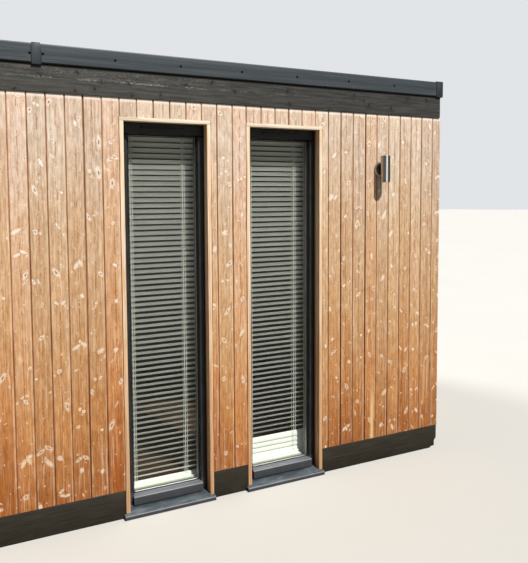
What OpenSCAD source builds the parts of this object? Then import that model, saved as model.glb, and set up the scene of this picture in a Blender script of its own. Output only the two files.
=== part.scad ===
// Flat-roofed timber garden office pod with full-height slit windows.
// X runs along the front from left to right, Y runs from the front to the
// back, Z is up. The origin is the middle of the base at ground level.

/* [Overall] */
// Length of the pod over its cladding
pod_length = 5088; // [4900:1:6000]
// Depth of the pod over its cladding
pod_depth = 3000; // [2400:10:4000]
// Height from the ground to the top of the roof trim
pod_height = 2495; // [2440:1:2600]

/* [Walls] */
// Thickness of the upright cladding boards
cladding_t = 20; // [16:1:25]
// Thickness of the insulated timber wall behind the boards
wall_t = 180; // [120:5:220]
// Height of the stained plinth board
plinth_h = 155; // [120:1:200]
// Depth of the plinth board's face behind the cladding's face
plinth_set_back = 2; // [0:0.5:4]
// Height of the insulated floor above the ground
floor_h = 95; // [80:1:120]

/* [Windows] */
// Width of a window over its timber liner
window_w = 506; // [420:1:560]
// Left edge of window 1, over its liner
window_1_x = 397.5; // [380:0.5:420]
// Left edge of window 2, over its liner
window_2_x = 1120.5; // [1100:0.5:1200]
// Height of the liner's top above the ground
opening_top = 2159; // [2100:1:2170]
// Thickness of the timber liner at the sides
liner_t = 22; // [15:1:28]
// Thickness of the timber liner at the head
liner_head_t = 19; // [15:1:28]
// Depth of the window frame's face behind the cladding's face
reveal = 65; // [45:1:80]
// Width of the window frame's legs, with the part behind the liner
frame_w = 60; // [50:1:75]
// Height of the window frame's head, with the part behind the liner
frame_head_h = 82; // [60:1:100]
// Depth of the window frame from front to back
frame_d = 70; // [60:1:80]

/* [Blinds] */
// Width of the venetian blinds
blind_w = 470; // [380:1:480]
// How far the blinds hang left of the middle of their windows
blind_off = 10; // [0:1:12]
// Width of a blind's slats
slat_w = 35; // [25:1:40]

/* [Door] */
// Left edge of the double door, over its liner
door_x = -1626.5; // [-1700:0.5:-1500]
// Width of the double door over its liner
door_w = 1229; // [1150:1:1260]
// Width of a door leaf's stiles and rails
stile_w = 78; // [60:1:95]

/* [Roof] */
// Height of the stained fascia board
fascia_h = 138; // [110:1:145]
// How far the front and back fascias stand proud of the cladding
fascia_proud = 7; // [1:0.5:10]
// How far short of the pod's corner the front and back fascias end
fascia_short = 10; // [4:1:20]
// Height of the ribbed roof-edge trim, with its corner caps
trim_h = 99.5; // [80:0.5:110]
// How far the front and back trims stand proud of the cladding
trim_proud = 14; // [8:0.5:16]
// How far the side trims stand proud of the cladding
side_trim_proud = 2; // [0:0.5:8]
// Thickness of the trim's corner and joint covers
cover_t = 2.5; // [1.5:0.5:4]
// Width of the trim seen from above
trim_w = 50; // [40:1:70]
// Distance of the trim's joint cover from the middle of the front
strap_x = 0; // [-400:1:300]

/* [Lamp] */
// Diameter of the lamp's upright tube
lamp_d = 60; // [50:1:65]
// Length of the lamp's upright tube
lamp_h = 167; // [140:1:190]
// Distance of the tube's middle from the cladding's face
lamp_out = 55; // [52:1:80]
// Position of the lamp along the front
lamp_x = 2055; // [1800:1:2300]
// Height of the lamp's middle
lamp_z = 1908; // [1700:1:2000]
// Diameter of the lamp's round rose
rose_d = 92; // [70:1:110]

/* [Hidden] */

// small gap that keeps neighbouring pieces apart
gap = 0.5;
// half the length over the cladding
hl = pod_length / 2;
// how far the covers stand proud of the cladding, at the front and at the sides
cover_proud = trim_proud + cover_t;
side_cover_proud = side_trim_proud + cover_t;
// face of the front cladding and face of the back cladding
fy = -pod_depth / 2 + (lamp_out + lamp_d / 2 - cover_proud) / 2;
by = fy + pod_depth;
// inner faces of the insulated walls
inx = hl - cladding_t - wall_t;
iny0 = fy + cladding_t + wall_t;
iny1 = by - cladding_t - wall_t;
// levels of the roof
trim_z = pod_height - trim_h;
trim_top = pod_height - 3;
fascia_top = trim_z - gap;
fascia_z = fascia_top - fascia_h;
board_top = fascia_z - gap;
panel_z = board_top - 8;
panel_top = trim_z - gap;
wall_top = panel_z - gap;
membrane_top = pod_height - 40;
// sill: height of its nose, height at its back, reach of its nose
nose_h = 22;
sill_back_h = 38;
nose_out = 28;
// raised bottom member of a window frame
rail_z = 41;
rail_top = 89;
rail_out = 28;
rail_in = 52.5;
// glass
glass_back = 21;
glass_t = 28;

// a box from its lowest to its highest corner
module box(a, b) { translate(a) cube([b[0] - a[0], b[1] - a[1], b[2] - a[2]]); }

// ---- structure ----
module floor_panel() {
  color("burlywood") {
    box([-inx + gap, iny0 + gap, 0], [inx - gap, iny1 - gap, floor_h]);
    // strips behind the window sills and the door sill
    for (o = [[window_1_x, window_w], [window_2_x, window_w], [door_x, door_w]])
      box([o[0] + gap, fy + reveal + frame_d + gap, 0], [o[0] + o[1] - gap, iny0, floor_h]);
  }
}
module front_wall_part(x0, x1) {
  color("whitesmoke") box([x0, fy + cladding_t + gap, 0], [x1, iny0, opening_top]);
}
module left_front_wall() { front_wall_part(-hl + cladding_t + gap, door_x); }
module middle_front_wall() { front_wall_part(door_x + door_w, window_1_x); }
module window_pier_wall() { front_wall_part(window_1_x + window_w, window_2_x); }
module right_front_wall() { front_wall_part(window_2_x + window_w, hl - cladding_t - gap); }
module front_wall_header() {
  color("whitesmoke")
    box([-hl + cladding_t + gap, fy + cladding_t + gap, opening_top + gap],
        [hl - cladding_t - gap, iny0, wall_top]);
}
module back_wall() {
  color("whitesmoke")
    box([-hl + cladding_t + gap, iny1, 0], [hl - cladding_t - gap, by - cladding_t - gap, wall_top]);
}
module side_wall(s) {
  color("whitesmoke")
    box([s > 0 ? inx : -hl + cladding_t + gap, iny0 + gap, 0],
        [s > 0 ? hl - cladding_t - gap : -inx, iny1 - gap, wall_top]);
}
module left_wall() { side_wall(-1); }
module right_wall() { side_wall(1); }

// ---- cladding: upright boards over the plinth and under the fascia ----
module front_cladding() {
  color("peru") difference() {
    box([-hl, fy, plinth_h + gap], [hl, fy + cladding_t, board_top]);
    for (o = [[window_1_x, window_w], [window_2_x, window_w], [door_x, door_w]])
      box([o[0] - gap, fy - 1, 0], [o[0] + o[1] + gap, fy + cladding_t + 1, opening_top + gap]);
  }
}
module back_cladding() {
  color("peru") box([-hl, by - cladding_t, plinth_h + gap], [hl, by, board_top]);
}
module side_cladding(s) {
  color("peru")
    box([s > 0 ? hl - cladding_t : -hl, fy + cladding_t + gap, plinth_h + gap],
        [s > 0 ? hl : -hl + cladding_t, by - cladding_t - gap, board_top]);
}
module left_cladding() { side_cladding(-1); }
module right_cladding() { side_cladding(1); }

// ---- plinth boards ----
module front_plinth() {
  cuts = [-hl, door_x, door_x + door_w, window_1_x, window_1_x + window_w, window_2_x,
          window_2_x + window_w, hl];
  color("#26282a") {
    for (i = [0:2:4])
      box([cuts[i] + (i == 0 ? plinth_set_back : gap), fy + plinth_set_back, 0],
          [cuts[i + 1] - gap, fy + cladding_t, plinth_h]);
    // the right-hand board has its lower corner sawn off
    x1 = hl - plinth_set_back;
    translate([0, fy + cladding_t, 0]) rotate([90, 0, 0]) linear_extrude(cladding_t - plinth_set_back)
      polygon([[cuts[6] + gap, 0], [x1 - 52, 0], [x1, 66], [x1, plinth_h], [cuts[6] + gap, plinth_h]]);
  }
}
module back_plinth() {
  color("#26282a")
    box([-hl + plinth_set_back, by - cladding_t, 0], [hl - plinth_set_back, by - plinth_set_back, plinth_h]);
}
module side_plinth(s) {
  color("#26282a")
    box([s > 0 ? hl - cladding_t : -hl + plinth_set_back, fy + cladding_t + gap, 0],
        [s > 0 ? hl - plinth_set_back : -hl + cladding_t, by - cladding_t - gap, plinth_h]);
}
module left_plinth() { side_plinth(-1); }
module right_plinth() { side_plinth(1); }

// ---- fascia boards ----
module long_fascia(y0, y1) {
  color("#2b2b2a")
    box([-hl + fascia_short, y0, fascia_z], [hl - fascia_short, y1, fascia_top]);
}
module front_fascia() { long_fascia(fy - fascia_proud, fy + cladding_t); }
module back_fascia() { long_fascia(by - cladding_t, by + fascia_proud); }
module side_fascia(s) {
  x0 = hl - cladding_t;
  x1 = hl - 1;
  color("#2b2b2a")
    box([s > 0 ? x0 : -x1, fy + cladding_t + gap, fascia_z],
        [s > 0 ? x1 : -x0, by - cladding_t - gap, fascia_top]);
}
module left_fascia() { side_fascia(-1); }
module right_fascia() { side_fascia(1); }

// ---- roof ----
// insulated panel, whose white underside is the ceiling
module roof_panel() {
  color("whitesmoke")
    box([-hl + cladding_t + gap, fy + cladding_t + gap, panel_z],
        [hl - cladding_t - gap, by - cladding_t - gap, panel_top]);
}
module roof_membrane() {
  color("#303234")
    box([-hl - side_trim_proud + trim_w + gap, fy - trim_proud + trim_w + gap, trim_z],
        [hl + side_trim_proud - trim_w - gap, by + trim_proud - trim_w - gap, membrane_top]);
}
// hollow-backed trim: an upright face and a flat top over the roof's edge
module long_trim(s) {
  y = s < 0 ? fy - trim_proud : by + trim_proud - trim_w;
  color("#3d4348")
    box([-hl - side_trim_proud, y, trim_z], [hl + side_trim_proud, y + trim_w, trim_top]);
}
module front_roof_trim() { long_trim(-1); }
module back_roof_trim() { long_trim(1); }
module side_trim(s) {
  x = s < 0 ? -hl - side_trim_proud : hl + side_trim_proud - trim_w;
  color("#3d4348")
    box([x, fy - trim_proud + trim_w + gap, trim_z], [x + trim_w, by + trim_proud - trim_w - gap, trim_top]);
}
module left_roof_trim() { side_trim(-1); }
module right_roof_trim() { side_trim(1); }
// folded covers: two plates and a cap at each corner, and a strap over each
// butt joint in the middle of the long trims
module corner_cover(sx, sy) {
  ex = hl + side_cover_proud;
  ey = (sy < 0 ? -fy : by) + cover_proud;
  t = cover_t;
  mirror([sx < 0 ? 1 : 0, 0, 0]) mirror([0, sy < 0 ? 1 : 0, 0]) {
    box([ex - 50, ey - t + 0.2, trim_z - 4], [ex, ey, trim_top]);
    box([ex - t + 0.2, ey - 50, trim_z - 4], [ex, ey - t, trim_top]);
    box([ex - trim_w - 4, ey - trim_w - 4, trim_top + 0.2], [ex, ey, pod_height]);
  }
}
module strap(sy) {
  e = sy < 0 ? fy - cover_proud : by + trim_proud + 0.2;
  t = cover_t - 0.2;
  box([strap_x - 24, e, trim_z - 8], [strap_x + 24, e + t, trim_top]);
  box([strap_x - 24, sy < 0 ? e : e + t - trim_w - 4, trim_top + 0.2],
      [strap_x + 24, sy < 0 ? e + trim_w + 4 : e + t, pod_height]);
}
module roof_trim_covers() {
  color("#3a4045") {
    for (sx = [-1, 1]) for (sy = [-1, 1]) corner_cover(sx, sy);
    for (sy = [-1, 1]) strap(sy);
  }
}

// ---- openings ----
// top of the sill at a distance behind the cladding's face
function sill_z(d) = nose_h + (sill_back_h - nose_h) * (d + nose_out) / (reveal + nose_out);
// timber liner: two legs on the sloping sill and a head board over them
module liner(x0, w) {
  color("burlywood") {
    for (x = [x0 + gap, x0 + w - liner_t])
      translate([x, 0, 0]) rotate([90, 0, 90]) linear_extrude(liner_t - gap)
        polygon([[fy - 2, sill_z(-2) + gap], [fy + reveal - gap, sill_back_h + gap],
                 [fy + reveal - gap, opening_top - liner_head_t - gap],
                 [fy - 2, opening_top - liner_head_t - gap]]);
    box([x0 + gap, fy - 2, opening_top - liner_head_t], [x0 + w - gap, fy + reveal - gap, opening_top]);
  }
}
// frame: two legs, a head with an air slot's hood, and a raised bottom member
module frame(x0, w) {
  y0 = fy + reveal;
  y1 = y0 + frame_d;
  color("#2f353a") {
    for (x = [x0 + gap, x0 + w - frame_w]) box([x, y0, sill_back_h + gap], [x + frame_w - gap, y1, opening_top - frame_head_h - gap]);
    box([x0 + gap, y0, opening_top - frame_head_h], [x0 + w - gap, y1, opening_top]);
    box([x0 + w / 2 - 123, y0 - 9, opening_top - 49], [x0 + w / 2 + 123, y0 - gap, opening_top - 33]);
    box([x0 + frame_w + gap, y0 + gap, rail_z], [x0 + w - frame_w - gap, y1, rail_top]);
    box([x0 + rail_in, y0 - rail_out, rail_z], [x0 + w - rail_in, y0 - gap, rail_top]);
  }
}
module pane(x0, w) {
  y = fy + reveal + glass_back;
  color("#8fa19a", 0.45)
    box([x0 + frame_w + gap, y, rail_top + gap], [x0 + w - frame_w - gap, y + glass_t, opening_top - frame_head_h - gap]);
}
// pressed metal sill: sloping top, upright nose that runs past the liner
module sill(x0, w) {
  color("#4a545c") {
    translate([x0 + gap, 0, 0]) rotate([90, 0, 90]) linear_extrude(w - 2 * gap)
      polygon([[fy - 3, 0], [fy - 3, sill_z(-3)], [fy + reveal, sill_back_h],
               [fy + reveal + frame_d, sill_back_h], [fy + reveal + frame_d, 0]]);
    translate([x0 - 11, 0, 0]) rotate([90, 0, 90]) linear_extrude(w + 14)
      polygon([[fy - nose_out, 0], [fy - nose_out, nose_h], [fy - 3 - gap, sill_z(-3 - gap)], [fy - 3 - gap, 0]]);
  }
}
// venetian blind: headrail, curtain of slats and bottom rail
module blind(x0, w) {
  x = x0 + (w - blind_w) / 2 - blind_off;
  y = fy + reveal + frame_d + 15;
  top = opening_top - 40;
  color("white") {
    box([x, y, top - 38], [x + blind_w, y + slat_w, top]);
    box([x + 2, y + slat_w / 2 - 9, floor_h + 18], [x + blind_w - 2, y + slat_w / 2 + 9, top - 39]);
    box([x + 2, y + 5, floor_h + 2], [x + blind_w - 2, y + slat_w - 5, floor_h + 17]);
  }
}
module window_1_liner() { liner(window_1_x, window_w); }
module window_1_frame() { frame(window_1_x, window_w); }
module window_1_glass() { pane(window_1_x, window_w); }
module window_1_sill() { sill(window_1_x, window_w); }
module window_1_blind() { blind(window_1_x, window_w); }
module window_2_liner() { liner(window_2_x, window_w); }
module window_2_frame() { frame(window_2_x, window_w); }
module window_2_glass() { pane(window_2_x, window_w); }
module window_2_sill() { sill(window_2_x, window_w); }
module window_2_blind() { blind(window_2_x, window_w); }

// ---- double door with two glazed leaves ----
// inside of the door frame, split in the middle
dx0 = door_x + frame_w;
dx1 = door_x + door_w - frame_w;
dmid = (dx0 + dx1) / 2;
leaf_y = fy + reveal + 4;
leaf_z = rail_z + 3;
leaf_top = opening_top - frame_w - 4;
// the two leaves' left and right edges
leaves = [[dx0 + 4, dmid - 2], [dmid + 2, dx1 - 4]];
module door_liner() { liner(door_x, door_w); }
module door_frame() {
  y0 = fy + reveal;
  y1 = y0 + frame_d;
  color("#2f353a") {
    for (x = [door_x + gap, door_x + door_w - frame_w]) box([x, y0, sill_back_h + gap], [x + frame_w - gap, y1, opening_top - frame_w - gap]);
    box([door_x + gap, y0, opening_top - frame_w], [door_x + door_w - gap, y1, opening_top]);
  }
}
module door_leaves() {
  color("#2f353a") for (l = leaves) {
    for (x = [l[0], l[1] - stile_w]) box([x, leaf_y, leaf_z], [x + stile_w, leaf_y + 62, leaf_top]);
    for (z = [leaf_z, leaf_top - stile_w])
      box([l[0] + stile_w + gap, leaf_y, z], [l[1] - stile_w - gap, leaf_y + 62, z + stile_w]);
  }
}
module door_glass() {
  color("#8fa19a", 0.45) for (l = leaves)
    box([l[0] + stile_w + gap, leaf_y + 17, leaf_z + stile_w + gap],
        [l[1] - stile_w - gap, leaf_y + 45, leaf_top - stile_w - gap]);
}
module door_sill() { sill(door_x, door_w); }
// lever and long plate on the right-hand leaf's meeting stile
module door_handle() {
  x = dmid + 2 + stile_w / 2;
  z = 1050;
  color("silver") {
    box([x - 16, leaf_y - 8, z - 150], [x + 16, leaf_y - gap, z + 90]);
    translate([x, leaf_y - 8 - gap, z]) rotate([90, 0, 0]) cylinder(h = 42, r = 10, $fn = 24);
    box([x - 12, leaf_y - 62, z - 9.5], [x + 118, leaf_y - 51, z + 9.5]);
  }
}

// ---- lamp: round rose and short arm, upright tube open to light up and down ----
module wall_lamp() {
  y = fy - lamp_out;
  color("silver") {
    translate([lamp_x, fy - gap, lamp_z]) rotate([90, 0, 0]) cylinder(h = 16, r = rose_d / 2, $fn = 48);
    translate([lamp_x, fy - 16.5 - gap, lamp_z]) rotate([90, 0, 0])
      cylinder(h = lamp_out - lamp_d / 2 - 18, r = 14, $fn = 24);
    translate([lamp_x, y, lamp_z - lamp_h / 2]) cylinder(h = lamp_h, r = lamp_d / 2, $fn = 64);
  }
}

floor_panel();
left_front_wall();
middle_front_wall();
window_pier_wall();
right_front_wall();
front_wall_header();
back_wall();
left_wall();
right_wall();
front_cladding();
back_cladding();
left_cladding();
right_cladding();
front_plinth();
back_plinth();
left_plinth();
right_plinth();
front_fascia();
back_fascia();
left_fascia();
right_fascia();
roof_panel();
roof_membrane();
front_roof_trim();
back_roof_trim();
left_roof_trim();
right_roof_trim();
roof_trim_covers();
window_1_liner();
window_1_frame();
window_1_glass();
window_1_sill();
window_1_blind();
window_2_liner();
window_2_frame();
window_2_glass();
window_2_sill();
window_2_blind();
door_liner();
door_frame();
door_leaves();
door_glass();
door_sill();
door_handle();
wall_lamp();
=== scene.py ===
"""Looks of a timber garden office pod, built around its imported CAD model.

Metres, +X along the front from left to right, +Y from the front to the back,
+Z up. Every shape and texture is made here in code.
"""

import math

import bmesh
import bpy
import numpy as np
from mathutils import Matrix, Vector


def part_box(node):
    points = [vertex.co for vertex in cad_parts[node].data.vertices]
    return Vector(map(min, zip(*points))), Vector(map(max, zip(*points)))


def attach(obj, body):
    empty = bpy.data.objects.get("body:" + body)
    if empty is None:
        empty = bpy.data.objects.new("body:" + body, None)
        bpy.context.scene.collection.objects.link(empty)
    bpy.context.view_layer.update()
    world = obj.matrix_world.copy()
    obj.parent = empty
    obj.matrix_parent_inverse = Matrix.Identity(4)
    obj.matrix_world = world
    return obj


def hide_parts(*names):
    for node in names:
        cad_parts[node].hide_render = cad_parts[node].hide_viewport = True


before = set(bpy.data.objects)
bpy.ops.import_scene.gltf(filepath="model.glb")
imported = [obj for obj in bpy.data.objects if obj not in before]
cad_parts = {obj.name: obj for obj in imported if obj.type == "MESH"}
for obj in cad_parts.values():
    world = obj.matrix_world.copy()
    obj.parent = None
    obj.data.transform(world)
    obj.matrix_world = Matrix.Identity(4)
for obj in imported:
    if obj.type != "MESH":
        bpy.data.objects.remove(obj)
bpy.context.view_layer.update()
scene = bpy.context.scene

# ------------------------------------------------------------------ sizes
MM = 0.001
clad_lo, clad_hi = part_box("front_cladding")
back_lo, back_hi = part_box("back_cladding")
HL = clad_hi.x  # half the length over the boards
FY = clad_lo.y  # face of the front boards
BY = back_hi.y  # face of the back boards
BOARD_Z0 = clad_lo.z
BOARD_Z1 = clad_hi.z
CLAD_T = clad_hi.y - clad_lo.y
COVER = 90.591 * MM  # width that each cladding board covers
JOINT_0 = -145 * MM  # one joint between two boards on the front


# ------------------------------------------------------------------ meshes
class Mesh:
    """Vertices, faces and material numbers of one piece."""

    def __init__(self):
        self.v, self.f, self.m = [], [], []

    def add(self, verts, faces, mat=0):
        o = len(self.v)
        self.v.extend(tuple(p) for p in verts)
        self.f.extend(tuple(i + o for i in f) for f in faces)
        self.m.extend([mat] * len(faces))

    def bm(self, bm, mat=0, matrix=None):
        if matrix is not None:
            bmesh.ops.transform(bm, matrix=matrix, verts=bm.verts)
            if matrix.determinant() < 0:
                bmesh.ops.reverse_faces(bm, faces=bm.faces)
        bm.verts.index_update()
        self.add([v.co[:] for v in bm.verts], [[v.index for v in f.verts] for f in bm.faces], mat)
        bm.free()

    def solid(self, poly, axis, a, b, bevel=0.0, seg=1, mat=0, matrix=None):
        """poly extruded along an axis from a to b, with its edges rounded."""
        bm = bmesh.new()

        def at(p, t):
            return {"x": (t, p[0], p[1]), "y": (p[0], t, p[1]), "z": (p[0], p[1], t)}[axis]

        lo = [bm.verts.new(at(p, a)) for p in poly]
        hi = [bm.verts.new(at(p, b)) for p in poly]
        bm.faces.new(lo)
        bm.faces.new(hi[::-1])
        n = len(poly)
        for i in range(n):
            bm.faces.new((lo[i], hi[i], hi[(i + 1) % n], lo[(i + 1) % n]))
        bmesh.ops.recalc_face_normals(bm, faces=bm.faces)
        if bevel:
            bmesh.ops.bevel(
                bm, geom=bm.edges[:], offset=bevel, offset_type="OFFSET", segments=seg,
                profile=0.5, affect="EDGES", clamp_overlap=True,
            )
        self.bm(bm, mat, matrix)

    def box(self, lo, hi, bevel=0.0, seg=1, mat=0, matrix=None):
        self.solid(
            [(lo[1], lo[2]), (hi[1], lo[2]), (hi[1], hi[2]), (lo[1], hi[2])],
            "x", lo[0], hi[0], bevel, seg, mat, matrix,
        )

    def lathe(self, profile, centre, axis="z", steps=48, mat=0):
        """profile of (radius, height) turned round an axis through centre; closed where it meets the axis."""
        c = Vector(centre)
        rings, verts, faces = [], [], []
        for r, h in profile:
            if r < 1e-7:
                rings.append([len(verts)])
                pts = [(0.0, 0.0)]
            else:
                rings.append(list(range(len(verts), len(verts) + steps)))
                pts = [(r * math.cos(2 * math.pi * i / steps), r * math.sin(2 * math.pi * i / steps)) for i in range(steps)]
            for p, q in pts:
                off = {"z": (p, q, h), "y": (p, h, q), "x": (h, p, q)}[axis]
                verts.append(tuple(c + Vector(off)))
        for a, b in zip(rings, rings[1:]):
            for i in range(steps):
                j = (i + 1) % steps
                q = [a[i % len(a)], a[j % len(a)], b[j % len(b)], b[i % len(b)]]
                q = [x for n, x in enumerate(q) if x not in q[:n]]
                if len(q) > 2:
                    faces.append(q)
        bm = bmesh.new()
        vs = [bm.verts.new(v) for v in verts]
        for f in faces:
            bm.faces.new([vs[i] for i in f])
        bmesh.ops.recalc_face_normals(bm, faces=bm.faces)
        self.bm(bm, mat)

    def tube(self, points, radius, steps=10, mat=0):
        """A round bar along points, closed at both ends."""
        pts = [Vector(p) for p in points]
        bm = bmesh.new()
        rings = []
        up = Vector((0, 0, 1))
        for i, p in enumerate(pts):
            d = (pts[min(i + 1, len(pts) - 1)] - pts[max(i - 1, 0)]).normalized()
            side = d.cross(up)
            if side.length < 0.1:
                side = d.cross(Vector((0, 1, 0)))
            side.normalize()
            top = side.cross(d).normalized()
            rings.append([
                bm.verts.new(p + radius * (math.cos(t) * side + math.sin(t) * top))
                for t in (2 * math.pi * k / steps for k in range(steps))
            ])
        for a, b in zip(rings, rings[1:]):
            for k in range(steps):
                bm.faces.new((a[k], a[(k + 1) % steps], b[(k + 1) % steps], b[k]))
        bm.faces.new(rings[0])
        bm.faces.new(rings[-1])
        bmesh.ops.recalc_face_normals(bm, faces=bm.faces)
        self.bm(bm, mat)


def piece(name, m, mats, node=(), angle=32):
    me = bpy.data.meshes.new(name)
    me.from_pydata(m.v, [], m.f)
    me.polygons.foreach_set("material_index", m.m)
    for mat in mats if isinstance(mats, (list, tuple)) else [mats]:
        me.materials.append(mat)
    me.polygons.foreach_set("use_smooth", [True] * len(me.polygons))
    me.validate()
    me.update()
    me.set_sharp_from_angle(angle=math.radians(angle))
    ob = bpy.data.objects.new(name, me)
    scene.collection.objects.link(ob)
    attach(ob, "root")
    nodes = [node] if isinstance(node, str) else list(node)
    if nodes:
        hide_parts(*nodes)
    return ob


# ------------------------------------------------------------------ node trees
def srgb(r, g, b):
    """A colour given as 0-255 sRGB, in the linear values that Blender uses."""
    return tuple(
        (c / 255 / 12.92 if c / 255 <= 0.04045 else ((c / 255 + 0.055) / 1.055) ** 2.4) for c in (r, g, b)
    ) + (1.0,)


class Tree:
    """Short calls for building a material's nodes."""

    def __init__(self, name):
        self.mat = bpy.data.materials.new(name)
        self.mat.use_nodes = True
        self.t = self.mat.node_tree
        self.t.nodes.clear()
        self.out = self.t.nodes.new("ShaderNodeOutputMaterial")
        co = self.t.nodes.new("ShaderNodeTexCoord")
        self.pos = co.outputs["Object"]
        sep = self.t.nodes.new("ShaderNodeSeparateXYZ")
        self.t.links.new(self.pos, sep.inputs[0])
        # position in millimetres
        self.x = self.mul(sep.outputs[0], 1000)
        self.y = self.mul(sep.outputs[1], 1000)
        self.z = self.mul(sep.outputs[2], 1000)

    def put(self, sock, val):
        if isinstance(val, bpy.types.NodeSocket):
            self.t.links.new(val, sock)
        elif val is not None:
            sock.default_value = val

    def math(self, op, a, b=None, c=None, clamp=False):
        n = self.t.nodes.new("ShaderNodeMath")
        n.operation = op
        n.use_clamp = clamp
        for s, v in zip(n.inputs, (a, b, c)):
            self.put(s, v)
        return n.outputs[0]

    def add(self, a, b):
        return self.math("ADD", a, b)

    def sub(self, a, b):
        return self.math("SUBTRACT", a, b)

    def mul(self, a, b):
        return self.math("MULTIPLY", a, b)

    def ma(self, a, b, c):
        return self.math("MULTIPLY_ADD", a, b, c)

    def pw(self, a, b):
        return self.math("POWER", a, b)

    def step(self, v, a, b, lo=0.0, hi=1.0, smooth=True):
        """v from a to b taken to lo to hi, clamped."""
        n = self.t.nodes.new("ShaderNodeMapRange")
        n.interpolation_type = "SMOOTHSTEP" if smooth else "LINEAR"
        n.clamp = True
        for s, x in zip(n.inputs, (v, a, b, lo, hi)):
            self.put(s, x)
        return n.outputs[0]

    def bell(self, v, width):
        """1 where v is 0, falling to 0 over about two widths."""
        q = self.math("DIVIDE", v, width)
        return self.math("EXPONENT", self.mul(self.mul(q, q), -1.0))

    def vec(self, x, y, z=0.0):
        n = self.t.nodes.new("ShaderNodeCombineXYZ")
        for s, v in zip(n.inputs, (x, y, z)):
            self.put(s, v)
        return n.outputs[0]

    def sep(self, v):
        n = self.t.nodes.new("ShaderNodeSeparateXYZ")
        self.put(n.inputs[0], v)
        return n.outputs

    def noise(self, vec, detail=2.0, rough=0.5, scale=1.0, dist=0.0, dims="3D"):
        n = self.t.nodes.new("ShaderNodeTexNoise")
        n.noise_dimensions = dims
        self.put(n.inputs["Vector"], vec)
        self.put(n.inputs["Scale"], scale)
        self.put(n.inputs["Detail"], detail)
        self.put(n.inputs["Roughness"], rough)
        self.put(n.inputs["Distortion"], dist)
        return n.outputs[0]

    def white(self, w):
        n = self.t.nodes.new("ShaderNodeTexWhiteNoise")
        n.noise_dimensions = "1D"
        self.put(n.inputs["W"], w)
        s = self.t.nodes.new("ShaderNodeSeparateColor")
        self.t.links.new(n.outputs["Color"], s.inputs[0])
        return s.outputs

    def voronoi(self, vec, dims="2D", rnd=1.0, feature="F1"):
        n = self.t.nodes.new("ShaderNodeTexVoronoi")
        n.voronoi_dimensions = dims
        n.feature = feature
        self.put(n.inputs["Vector"], vec)
        n.inputs["Scale"].default_value = 1.0
        n.inputs["Randomness"].default_value = rnd
        return n.outputs

    def mix(self, fac, a, b, mode="MIX"):
        n = self.t.nodes.new("ShaderNodeMix")
        n.data_type = "RGBA"
        n.blend_type = mode
        n.clamp_factor = True
        self.put(n.inputs[0], fac)
        self.put(n.inputs[6], a)
        self.put(n.inputs[7], b)
        return n.outputs[2]

    def ramp(self, fac, stops, mode="LINEAR"):
        n = self.t.nodes.new("ShaderNodeValToRGB")
        n.color_ramp.interpolation = mode
        el = n.color_ramp.elements
        while len(el) > 1:
            el.remove(el[-1])
        el[0].position, el[0].color = stops[0]
        for p, c in stops[1:]:
            e = el.new(p)
            e.color = c
        self.put(n.inputs[0], fac)
        return n.outputs[0]

    def bump(self, height, distance, strength=1.0, normal=None):
        n = self.t.nodes.new("ShaderNodeBump")
        n.inputs["Strength"].default_value = strength
        n.inputs["Distance"].default_value = distance
        self.put(n.inputs["Height"], height)
        self.put(n.inputs["Normal"], normal)
        return n.outputs[0]

    def surface(self, colour, rough=0.5, normal=None, metal=0.0, spec=0.5, **more):
        p = self.t.nodes.new("ShaderNodeBsdfPrincipled")
        self.put(p.inputs["Base Color"], colour)
        self.put(p.inputs["Roughness"], rough)
        self.put(p.inputs["Metallic"], metal)
        self.put(p.inputs["Specular IOR Level"], spec)
        self.put(p.inputs["Normal"], normal)
        for k, v in more.items():
            self.put(p.inputs[k.replace("_", " ")], v)
        self.t.links.new(p.outputs[0], self.out.inputs[0])
        return self.mat


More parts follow.
